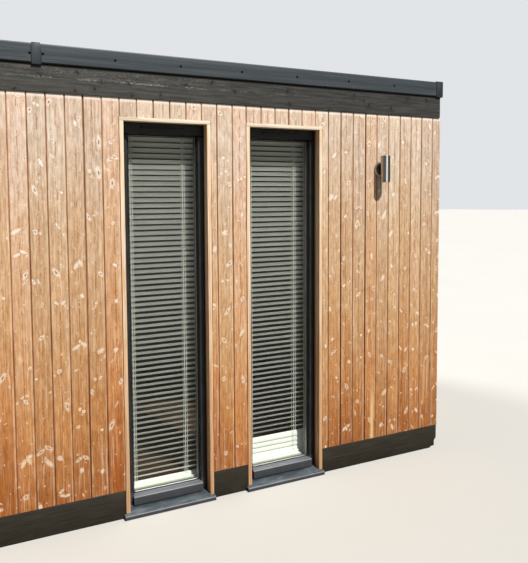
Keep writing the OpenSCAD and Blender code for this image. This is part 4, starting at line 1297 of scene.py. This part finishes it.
def rounded_leg(x_out, x_in, y0, y1, lead):
    """Plan of a frame leg: flat face, rounded arris, then a glazing bead sloping back to the glass."""
    s = 1 if x_in > x_out else -1
    w = abs(x_in - x_out)
    pts = [(0, 0), (w - 8 * MM, 0), (w - 6.6 * MM, 0.5 * MM), (w - 5.8 * MM, 1.8 * MM), (w - 1.2 * MM, lead - 3 * MM), (w, lead - 1.5 * MM), (w, y1 - y0), (0, y1 - y0)]
    return [(x_out + s * a, y0 + b) for a, b in pts]


def window_frame(name, node):
    lo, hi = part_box(node)
    x0, x1, top = lo.x - 0.5 * MM, hi.x + 0.5 * MM, hi.z
    y0, y1 = FY + REVEAL, FY + REVEAL + FRAME_D
    fw, fh, rail = 60 * MM, 82 * MM, 89 * MM
    lead = 20 * MM
    m = Mesh()
    e = 0.5 * MM
    m.solid(rounded_leg(x0 + e, x0 + fw - e, y0, y1, lead), "z", SILL_BACK + e, top - fh - e)
    m.solid(rounded_leg(x1 - e, x1 - fw + e, y0, y1, lead), "z", SILL_BACK + e, top - fh - e)
    # head: flat face, then the same bead above the glass
    z = top - fh
    m.solid(
        [(y0, top), (y0, z + 8 * MM), (y0 + 0.5 * MM, z + 6.6 * MM), (y0 + 1.8 * MM, z + 5.8 * MM),
         (y0 + lead - 3 * MM, z + 1.2 * MM), (y0 + lead - 1.5 * MM, z), (y1, z), (y1, top)],
        "x", x0 + e, x1 - e,
    )
    # slot ventilator under the head board
    xm = (x0 + x1) / 2
    hood = [(y0 - 0.5 * MM, top - 49 * MM), (y0 - 9 * MM, top - 49 * MM), (y0 - 9 * MM, top - 43 * MM), (y0 - 7 * MM, top - 38 * MM), (y0 - 3 * MM, top - 34 * MM), (y0 - 0.5 * MM, top - 33 * MM)]
    m.solid(hood, "x", xm - 121 * MM, xm + 121 * MM, 0.4 * MM)
    for a in (xm - 123 * MM, xm + 121.2 * MM):
        m.solid(hood, "x", a, a + 1.8 * MM, 0.3 * MM)
    # bottom member, standing forward of the legs
    m.box((x0 + fw + e, y0 + e, 41 * MM), (x1 - fw - e, y1, rail), 0.8 * MM, 2)
    yb = y0 - 28 * MM
    m.solid(
        [(yb, 41 * MM), (yb, rail - 5 * MM), (yb + 0.8 * MM, rail - 3.4 * MM), (yb + 2.6 * MM, rail - 2.4 * MM), (y0 - e, rail), (y0 - e, 41 * MM)],
        "x", x0 + 52.5 * MM, x1 - 52.5 * MM, 0.5 * MM, 2,
    )
    for a in (x0 + 75 * MM, (x0 + x1) / 2, x1 - 75 * MM):
        # drain slots with their lips
        m.box((a - 13 * MM, yb + 0.05 * MM, 50 * MM), (a + 13 * MM, yb + 1.0 * MM, 54 * MM), 0.4 * MM, 1, 1)
    # black seals in the corners between the liner and the frame; they also stand in for the shade in those corners
    th, tl = 19 * MM, 22 * MM
    for a, b in ((x0 + tl, x0 + tl + 3.2 * MM), (x1 - tl - 3.2 * MM, x1 - tl)):
        m.box((a, y0 - 7.5 * MM, SILL_BACK + e), (b, y0 - 0.2 * MM, top - th - 0.2 * MM), 0.6 * MM, 1, 1)
    m.box((x0 + tl + 3.2 * MM, y0 - 6 * MM, top - th - 3.4 * MM), (x1 - tl - 3.2 * MM, y0 - 0.2 * MM, top - th - 0.2 * MM), 0.6 * MM, 1, 1)
    return piece(name, m, [BEADED_FRAME, GASKET], node, 28)


def pane(name, node):
    """Sealed unit: two panes, the bright spacer between them and the gaskets that hold them."""
    lo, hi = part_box(node)
    m = Mesh()
    t = 4 * MM
    ins = 0.4 * MM
    m.box((lo.x + ins, lo.y, lo.z + ins), (hi.x - ins, lo.y + t, hi.z - ins), 0.4 * MM)
    m.box((lo.x + ins, hi.y - t, lo.z + ins), (hi.x - ins, hi.y, hi.z - ins), 0.4 * MM)
    piece(name + "_panes", m, GLASS, node)
    m = Mesh()
    y0, y1 = lo.y + t + 0.2 * MM, hi.y - t - 0.2 * MM
    s0, s1 = 0.8 * MM, 4.2 * MM
    bar = 8 * MM
    rad = 13 * MM
    # the spacer's front 8 mm is in its own bright metal; the deeper part is a dark grey copy, as painted shade
    for ya, yb, mt in ((y0, y0 + bar, 0), (y0 + bar + 0.1 * MM, y1, 1)):
        m.box((lo.x + s0, ya, lo.z + rad), (lo.x + s1, yb, hi.z - rad), 0.5 * MM, 1, mt)
        m.box((hi.x - s1, ya, lo.z + rad), (hi.x - s0, yb, hi.z - rad), 0.5 * MM, 1, mt)
        m.box((lo.x + rad, ya, lo.z + s0), (hi.x - rad, yb, lo.z + s1), 0.5 * MM, 1, mt)
        m.box((lo.x + rad, ya, hi.z - s1), (hi.x - rad, yb, hi.z - s0), 0.5 * MM, 1, mt)
        # bent corners
        for cx, cz, a0 in ((lo.x + rad, lo.z + rad, 180), (hi.x - rad, lo.z + rad, 270), (hi.x - rad, hi.z - rad, 0), (lo.x + rad, hi.z - rad, 90)):
            arc = [math.radians(a0 + 90 * i / 8) for i in range(9)]
            ring = [(cx + (rad - s0) * math.cos(q), cz + (rad - s0) * math.sin(q)) for q in arc]
            ring += [(cx + (rad - s1) * math.cos(q), cz + (rad - s1) * math.sin(q)) for q in reversed(arc)]
            m.solid(ring, "y", ya, yb, 0, 1, mt)
    piece(name + "_spacer", m, [SPACER, SPACER_PAINTED_SHADE], ())
    # gasket in front of the outer pane
    m = Mesh()
    gy0, gy1 = lo.y - 3.2 * MM, lo.y - 0.1 * MM
    gw = 3.2 * MM
    m.box((lo.x - 0.2 * MM, gy0, lo.z), (lo.x + gw, gy1, hi.z), 1.0 * MM, 2)
    m.box((hi.x - gw, gy0, lo.z), (hi.x + 0.2 * MM, gy1, hi.z), 1.0 * MM, 2)
    m.box((lo.x + gw, gy0, lo.z), (hi.x - gw, gy1, lo.z + gw), 1.0 * MM, 2)
    m.box((lo.x + gw, gy0, hi.z - gw), (hi.x - gw, gy1, hi.z), 1.0 * MM, 2)
    piece(name + "_gasket", m, GASKET, ())


def blind(name, node, closed, open_at):
    """Venetian blind: headrail, curved slats on ladder cords and a bottom rail."""
    lo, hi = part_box(node)
    r = np.random.default_rng(21 + closed)
    m = Mesh()
    x0, x1 = lo.x, hi.x
    ym = (lo.y + hi.y) / 2
    half = (hi.y - lo.y) / 2
    # headrail: a rolled channel
    z1, z0 = hi.z, hi.z - 38 * MM
    m.box((x0, lo.y + 0.5 * MM, z0), (x1, hi.y - 0.5 * MM, z1), 2.2 * MM, 3)
    base = lo.z
    m.solid(
        [(ym - 12.5 * MM, base), (ym + 12.5 * MM, base), (ym + 12.5 * MM, base + 9 * MM), (ym + 9 * MM, base + 13 * MM), (ym, base + 15 * MM), (ym - 9 * MM, base + 13 * MM), (ym - 12.5 * MM, base + 9 * MM)],
        "x", x0 + 2 * MM, x1 - 2 * MM, 0.8 * MM,
    )
    pitch = 31 * MM
    first = z0 - 18 * MM
    seg = 6
    width, crown, thick = 34.6 * MM, 2.2 * MM, 0.35 * MM
    n_len = 6
    # the closed slats rest in a stack over the bottom rail
    stack = [base + 27 * MM + i * pitch for i in range(closed)][::-1]
    floor = stack[0] + 30 * MM if stack else base + 26 * MM
    levels = [z for z in (first - i * pitch for i in range(80)) if z > floor] + stack
    for i, z in enumerate(levels):
        from_foot = len(levels) - 1 - i
        if from_foot < closed:
            a = -math.radians(77)
        else:
            a = math.radians(open_at + r.normal(0, 0.7))
        ca, sa = math.cos(a), math.sin(a)
        tilt = r.normal(0, 0.35) * MM
        sag = abs(r.normal(0, 0.25)) * MM
        verts = []
        for p in range(n_len + 1):
            u = p / n_len
            x = x0 + 2 * MM + (x1 - x0 - 4 * MM) * u
            dz = tilt * (u - 0.5) * 2 - sag * (1 - (2 * abs(((u * 2) % 1) - 0.5)) ** 2)
            for side in (0, 1):
                for q in range(seg + 1):
                    s = -1 + 2 * q / seg
                    yy = s * width / 2
                    hh_ = crown * (1 - s * s) - crown * 0.6 - side * thick
                    verts.append((x, ym + ca * yy + sa * hh_, z + dz - sa * yy + ca * hh_))
        ring = 2 * (seg + 1)
        faces = []
        for p in range(n_len):
            for q in range(seg):
                o, o2 = p * ring + q, (p + 1) * ring + q
                faces.append((o, o + 1, o2 + 1, o2))
                o += seg + 1
                o2 += seg + 1
                faces.append((o, o2, o2 + 1, o + 1))
            for q in (0, seg):
                o, o2 = p * ring + q, (p + 1) * ring + q
                f = (o, o2, o2 + seg + 1, o + seg + 1)
                faces.append(f if q == 0 else f[::-1])
        for p in (0, n_len):
            o = p * ring
            loop = [o + q for q in range(seg + 1)] + [o + seg + 1 + q for q in reversed(range(seg + 1))]
            faces.append(loop if p else loop[::-1])
        m.add(verts, faces)
    piece(name + "_slats", m, WHITE, node, 40)
    # ladder cords with their rungs, and the lift cords beside them
    m = Mesh()
    mid = (x0 + x1) / 2
    reach = half - 1.0 * MM
    for cx in (mid - 152 * MM, mid + 149 * MM):
        for dx in (-6 * MM, 6 * MM):
            for yy in (ym - 15.2 * MM, ym + 15.2 * MM):
                m.tube([(cx + dx, yy, z0 + 2 * MM), (cx + dx, yy, (z0 + base) / 2), (cx + dx, yy, base + 8 * MM)], 1.7 * MM if dx < 0 else 1.3 * MM, 6)
        for i, z in enumerate(levels):
            a = -77 if len(levels) - 1 - i < closed else open_at
            dz = math.tan(math.radians(a)) * 14.6 * MM
            dz = max(-12 * MM, min(12 * MM, dz))
            for dx in (-6 * MM, 6 * MM):
                m.tube([(cx + dx, ym - 14.6 * MM, z + dz - 1.6 * MM), (cx + dx, ym + 14.6 * MM, z - dz - 1.6 * MM)], 0.5 * MM, 5)
    piece(name + "_cords", m, CORD, ())


for w, closed, open_at in (("window_1", 0, 38), ("window_2", 4, 37)):
    liner(w + "_lining", w + "_liner")
    window_frame(w + "_frame_section", w + "_frame")
    pane(w, w + "_glass")
    sill(w + "_sill_pressing", w + "_sill")
    blind(w + "_blind", w + "_blind", closed, open_at)


# ------------------------------------------------------------------ double door
liner("door_lining", "door_liner")
sill("door_sill_pressing", "door_sill")
lo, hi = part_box("door_frame")
x0, x1, top = lo.x - 0.5 * MM, hi.x + 0.5 * MM, hi.z
y0, y1 = FY + REVEAL, FY + REVEAL + FRAME_D
fw = 60 * MM
m = Mesh()
e = 0.5 * MM


def door_leg(x_out, x_in):
    s = 1 if x_in > x_out else -1
    w = abs(x_in - x_out)
    pts = [(0, 0), (w - 2 * MM, 0), (w - 0.6 * MM, 0.6 * MM), (w, 2 * MM), (w, y1 - y0), (0, y1 - y0)]
    return [(x_out + s * a, y0 + b) for a, b in pts]


m.solid(door_leg(x0 + e, x0 + fw - e), "z", SILL_BACK + e, top - fw - e)
m.solid(door_leg(x1 - e, x1 - fw + e), "z", SILL_BACK + e, top - fw - e)
m.solid([(y0, top), (y0, top - fw + 2 * MM), (y0 + 0.6 * MM, top - fw + 0.6 * MM), (y0 + 2 * MM, top - fw), (y1, top - fw), (y1, top)], "x", x0 + e, x1 - e)
piece("door_frame_section", m, FRAME, "door_frame", 28)

glo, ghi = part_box("door_glass")
llo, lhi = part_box("door_leaves")
dmid = (llo.x + lhi.x) / 2
ly = llo.y
stile = 78 * MM
m = Mesh()
ms = Mesh()
for a, b in ((llo.x, dmid - 2 * MM), (dmid + 2 * MM, lhi.x)):
    z0_, z1_ = llo.z, lhi.z

    def member(x_out, x_in):
        s = 1 if x_in > x_out else -1
        w = abs(x_in - x_out)
        pts = [(0.6 * MM, 0), (w - 12 * MM, 0), (w - 10.6 * MM, 0.5 * MM), (w - 9.8 * MM, 1.8 * MM), (w - 1.0 * MM, 12 * MM), (w, 14 * MM), (w, 62 * MM), (0, 62 * MM), (0, 0.6 * MM)]
        return [(x_out + s * p, ly + q) for p, q in pts]

    m.solid(member(a, a + stile), "z", z0_, z1_)
    m.solid(member(b, b - stile), "z", z0_, z1_)
    for zo, zi in ((z0_, z0_ + stile), (z1_, z1_ - stile)):
        s = 1 if zi > zo else -1
        pts = [(0.6 * MM, 0), (stile - 12 * MM, 0), (stile - 10.6 * MM, 0.5 * MM), (stile - 9.8 * MM, 1.8 * MM), (stile - 1.0 * MM, 12 * MM), (stile, 14 * MM), (stile, 62 * MM), (0, 62 * MM), (0, 0.6 * MM)]
        m.solid([(ly + q, zo + s * p) for p, q in pts], "x", a + stile + 0.5 * MM, b - stile - 0.5 * MM)
    # weather bar across the foot
    m.solid([(ly - 3.6 * MM, z0_ + 8 * MM), (ly - 3.6 * MM, z0_ + 13 * MM), (ly - 1.5 * MM, z0_ + 22 * MM), (ly - 0.05 * MM, z0_ + 26 * MM), (ly - 0.05 * MM, z0_ + 8 * MM)], "x", a + 6 * MM, b - 6 * MM, 0.4 * MM)
    # panes, spacer and gasket of this leaf
    ga, gb = a + stile + 0.5 * MM, b - stile - 0.5 * MM
    for yy0, yy1 in ((glo.y, glo.y + 4 * MM), (ghi.y - 4 * MM, ghi.y)):
        ms.box((ga + 0.4 * MM, yy0, glo.z + 0.4 * MM), (gb - 0.4 * MM, yy1, ghi.z - 0.4 * MM), 0.4 * MM)
    for q0, q1 in (((ga + 2.2 * MM, glo.z + 2.2 * MM), (ga + 7.6 * MM, ghi.z - 2.2 * MM)), ((gb - 7.6 * MM, glo.z + 2.2 * MM), (gb - 2.2 * MM, ghi.z - 2.2 * MM)), ((ga + 7.6 * MM, glo.z + 2.2 * MM), (gb - 7.6 * MM, glo.z + 7.6 * MM)), ((ga + 7.6 * MM, ghi.z - 7.6 * MM), (gb - 7.6 * MM, ghi.z - 2.2 * MM))):
        ms.box((q0[0], glo.y + 4.2 * MM, q0[1]), (q1[0], ghi.y - 4.2 * MM, q1[1]), 0.5 * MM, 1, 1)
    for q0, q1 in (((ga - 0.2 * MM, glo.z), (ga + 3.2 * MM, ghi.z)), ((gb - 3.2 * MM, glo.z), (gb + 0.2 * MM, ghi.z)), ((ga + 3.2 * MM, glo.z), (gb - 3.2 * MM, glo.z + 3.2 * MM)), ((ga + 3.2 * MM, ghi.z - 3.2 * MM), (gb - 3.2 * MM, ghi.z))):
        ms.box((q0[0], glo.y - 3.0 * MM, q0[1]), (q1[0], glo.y - 0.1 * MM, q1[1]), 1.0 * MM, 2, 2)
# hinges on the outer stiles
for hx in (llo.x - 2 * MM, lhi.x + 2 * MM):
    for hz in (0.30, 1.08, 1.88):
        m.lathe([(0, 0), (7 * MM, 0.6 * MM), (7.6 * MM, 1.6 * MM), (7.6 * MM, 33 * MM), (7 * MM, 34 * MM), (0, 34 * MM)], (hx, ly - 4 * MM, hz), "z", 20)
        m.lathe([(0, 0), (7 * MM, 0.6 * MM), (7.6 * MM, 1.6 * MM), (7.6 * MM, 33 * MM), (7 * MM, 34 * MM), (0, 34 * MM)], (hx, ly - 4 * MM, hz + 35 * MM), "z", 20)
piece("door_leaf_sections", m, FRAME, "door_leaves", 28)
piece("door_panes", ms, [GLASS, SPACER, GASKET], "door_glass")

# lever handle on a long plate, with a keyhole under it
hlo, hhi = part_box("door_handle")
hx = dmid + 2 * MM + stile / 2
hz = 1.05
m = Mesh()
m.solid(
    [(hx + 16 * MM * math.cos(t) * 0.98, hz - 30 * MM + (104 * MM if math.sin(t) >= 0 else -104 * MM) + 15.5 * MM * math.sin(t)) for t in np.linspace(0, 2 * math.pi, 29)[:-1]],
    "y", ly - 8 * MM, ly - 0.5 * MM, 0.9 * MM, 2,
)
m.lathe([(0, 0), (9.6 * MM, 0), (9.6 * MM, -5 * MM), (8.4 * MM, -8 * MM), (8.2 * MM, -44 * MM), (0, -44 * MM)], (hx, ly - 8 * MM, hz), "y", 28)
arc = [(hx - 8 * MM, ly - 54.5 * MM, hz), (hx + 6 * MM, ly - 56 * MM, hz), (hx + 30 * MM, ly - 56.5 * MM, hz), (hx + 70 * MM, ly - 56 * MM, hz), (hx + 100 * MM, ly - 54 * MM, hz), (hx + 112 * MM, ly - 52.5 * MM, hz)]
m.tube(arc, 8.6 * MM * 0.6, 16)
m.lathe([(0, -1.2 * MM), (7.5 * MM, -1.2 * MM), (8.5 * MM, 0), (8.5 * MM, 2 * MM), (0, 2 * MM)], (hx, ly - 8 * MM, hz - 72 * MM), "y", 28)
m.box((hx - 1.2 * MM, ly - 9.6 * MM, hz - 80 * MM), (hx + 1.2 * MM, ly - 9.0 * MM, hz - 70 * MM), 0.2 * MM, 1, 1)
piece("door_lever_handle", m, [STEEL_FINE, GASKET], "door_handle")


# ------------------------------------------------------------------ wall lamp
wlo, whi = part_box("wall_lamp")
lamp_r = 30 * MM
lamp_out = -(wlo.y - FY) - lamp_r
lx = (wlo.x + whi.x) / 2
lz = (wlo.z + whi.z) / 2
lh = (whi.z - wlo.z) / 2
m = Mesh()
ly_ = FY - lamp_out
R = lamp_r
# tube: rolled rims, a fine groove below each, lenses set back inside
prof = [
    (R - 4 * MM, lh - 1 * MM), (R - 3 * MM, lh), (R - 0.8 * MM, lh), (R, lh - 0.8 * MM), (R, lh - 10.5 * MM), (R - 0.9 * MM, lh - 11.1 * MM),
    (R - 0.9 * MM, lh - 12.3 * MM), (R, lh - 12.9 * MM),
    (R, -lh + 12.9 * MM), (R - 0.9 * MM, -lh + 12.3 * MM), (R - 0.9 * MM, -lh + 11.1 * MM), (R, -lh + 10.5 * MM),
    (R, -lh + 0.8 * MM), (R - 0.8 * MM, -lh), (R - 3 * MM, -lh), (R - 4 * MM, -lh + 1 * MM),
]
prof += [(R - 4 * MM, -lh + 14 * MM), (0.0, -lh + 14 * MM)]
prof = [(0.0, lh - 14 * MM), (R - 4 * MM, lh - 14 * MM)] + prof
m.lathe(prof, (lx, ly_, lz), "z", 96)
piece("wall_lamp_tube", m, TURNED, "wall_lamp", 35)
m = Mesh()
for s in (1, -1):
    m.lathe([(0, s * (lh - 10 * MM)), (R - 8 * MM, s * (lh - 10.6 * MM)), (R - 4.3 * MM, s * (lh - 12 * MM)), (R - 4.3 * MM, s * (lh - 13.8 * MM)), (0, s * (lh - 13.8 * MM))], (lx, ly_, lz), "z", 48, 1)
# arm and domed rose
m.lathe([(0, 0), (13.5 * MM, 0), (13.5 * MM, -12 * MM), (12.5 * MM, -14 * MM), (0, -14 * MM)], (lx, FY - 14 * MM, lz), "y", 40)
rose = 46 * MM
# dish in the dark copy of the steel and rim in the bright copy: painted reflection and painted highlight
m.lathe(
    [(0, -16.0 * MM), (14 * MM, -15.8 * MM), (26 * MM, -14.6 * MM), (34 * MM, -12.4 * MM), (36.5 * MM, -10.6 * MM), (36.5 * MM, -0.4 * MM), (0, -0.4 * MM)],
    (lx, FY - 0.5 * MM, lz), "y", 72, 2,
)
m.lathe(
    [(36.7 * MM, -0.4 * MM), (36.7 * MM, -10.4 * MM), (38.2 * MM, -11.0 * MM), (40.6 * MM, -10.0 * MM), (43.2 * MM, -7.2 * MM), (rose - 0.4 * MM, -3.6 * MM), (rose, -2.6 * MM), (rose, -0.4 * MM), (36.7 * MM, -0.4 * MM)],
    (lx, FY - 0.5 * MM, lz), "y", 72, 3,
)
for s in (-1, 1):
    m.lathe([(0, -1.4 * MM), (2.2 * MM, -1.4 * MM), (3.4 * MM, -0.4 * MM), (3.4 * MM, 3 * MM), (0, 3 * MM)], (lx + s * 30 * MM, FY - 14.0 * MM, lz), "y", 18)
piece("wall_lamp_rose_and_lenses", m, [STEEL, LENS, ROSE_DISH_DARK_REFLECTION, ROSE_RIM_HIGHLIGHT], (), 35)


# ------------------------------------------------------------------ finishes of the CAD pieces that stay
def finish(node, mat):
    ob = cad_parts[node]
    ob.data.materials.clear()
    ob.data.materials.append(mat)


for node in ("left_front_wall", "middle_front_wall", "window_pier_wall", "right_front_wall", "front_wall_header", "back_wall", "left_wall", "right_wall"):
    finish(node, WALL_PAINT)
finish("roof_panel", CEILING_PAINT)
finish("floor_panel", FLOOR)


# ------------------------------------------------------------------ stage, light and camera
def stage_floor():
    me = bpy.data.meshes.new("studio_floor")
    r_, k = 70.0, 96
    vs = [(0, 0, -0.0006)] + [(r_ * math.cos(2 * math.pi * i / k), r_ * math.sin(2 * math.pi * i / k), -0.0006) for i in range(k)]
    me.from_pydata(vs, [], [(0, 1 + i, 1 + (i + 1) % k) for i in range(k)])
    n = Tree("studio_floor")
    c = n.noise(n.pos, 3, 0.5, 0.6)
    shown = n.mix(c, srgb(196, 194, 189), srgb(190, 188, 183))
    lp = n.t.nodes.new("ShaderNodeLightPath")
    n.surface(n.mix(lp.outputs["Is Camera Ray"], (0.15, 0.14, 0.12, 1), shown), 0.85, spec=0.2)
    me.materials.append(n.mat)
    ob = bpy.data.objects.new("studio_floor", me)
    scene.collection.objects.link(ob)


stage_floor()

world = bpy.data.worlds.new("studio")
scene.world = world
world.use_nodes = True
wt = world.node_tree
wt.nodes.clear()
wout = wt.nodes.new("ShaderNodeOutputWorld")
geo = wt.nodes.new("ShaderNodeTexCoord")
sepw = wt.nodes.new("ShaderNodeSeparateXYZ")
wt.links.new(geo.outputs["Generated"], sepw.inputs[0])
rampw = wt.nodes.new("ShaderNodeValToRGB")
wt.links.new(sepw.outputs[2], rampw.inputs[0])
el = rampw.color_ramp.elements
el[0].position, el[0].color = 0.0, (0.16, 0.17, 0.14, 1)
el[1].position, el[1].color = 0.12, (0.42, 0.46, 0.50, 1)
e2 = el.new(0.5)
e2.color = (0.42, 0.50, 0.62, 1)
light_bg = wt.nodes.new("ShaderNodeBackground")
wt.links.new(rampw.outputs[0], light_bg.inputs[0])
light_bg.inputs[1].default_value = 0.42
seen = wt.nodes.new("ShaderNodeBackground")
seen.inputs[0].default_value = (0.80, 0.82, 0.84, 1)
seen.inputs[1].default_value = 0.95
lp = wt.nodes.new("ShaderNodeLightPath")
mixw = wt.nodes.new("ShaderNodeMixShader")
wt.links.new(lp.outputs["Is Camera Ray"], mixw.inputs[0])
wt.links.new(light_bg.outputs[0], mixw.inputs[1])
wt.links.new(seen.outputs[0], mixw.inputs[2])
wt.links.new(mixw.outputs[0], wout.inputs[0])


def sun(name, toward, strength, angle, colour):
    li = bpy.data.lights.new(name, "SUN")
    li.energy = strength
    li.angle = math.radians(angle)
    li.color = colour
    ob = bpy.data.objects.new(name, li)
    scene.collection.objects.link(ob)
    ob.rotation_euler = Vector(toward).to_track_quat("Z", "Y").to_euler()
    return ob


sun("key", (0.31, -1.0, 1.4), 5.2, 1.6, (1.0, 0.97, 0.92))
sun("back_fill", (-0.55, 1.0, 0.9), 2.0, 12.0, (0.96, 0.98, 1.0))

YAW, PITCH, ROLL = 0.44121657707674844, 0.06111949372829214, -0.004691272808013082
ca, sa, cb, sb = math.cos(YAW), math.sin(YAW), math.cos(PITCH), math.sin(PITCH)
fwd = Vector((sa * cb, ca * cb, -sb))
right = Vector((ca, -sa, 0.0))
up = right.cross(fwd)
r2 = math.cos(ROLL) * right + math.sin(ROLL) * up
u2 = -math.sin(ROLL) * right + math.cos(ROLL) * up
cam_data = bpy.data.cameras.new("camera")
cam_data.sensor_width = 36.0
cam_data.lens = 600.5851 * 36.0 / 563.0
cam_data.shift_x = 0.0
cam_data.shift_y = -(281.5 - 232.0) / 563.0
cam_data.clip_end = 300.0
cam = bpy.data.objects.new("camera", cam_data)
scene.collection.objects.link(cam)
mat = Matrix((r2, u2, -fwd)).transposed().to_4x4()
mat.translation = Vector((-0.125129 - 0.145, -3.175975 + FY, 1.746268))
cam.matrix_world = mat
scene.camera = cam

scene.view_settings.view_transform = "Standard"
scene.view_settings.look = "None"
scene.view_settings.exposure = 0.0
scene.view_settings.gamma = 1.0
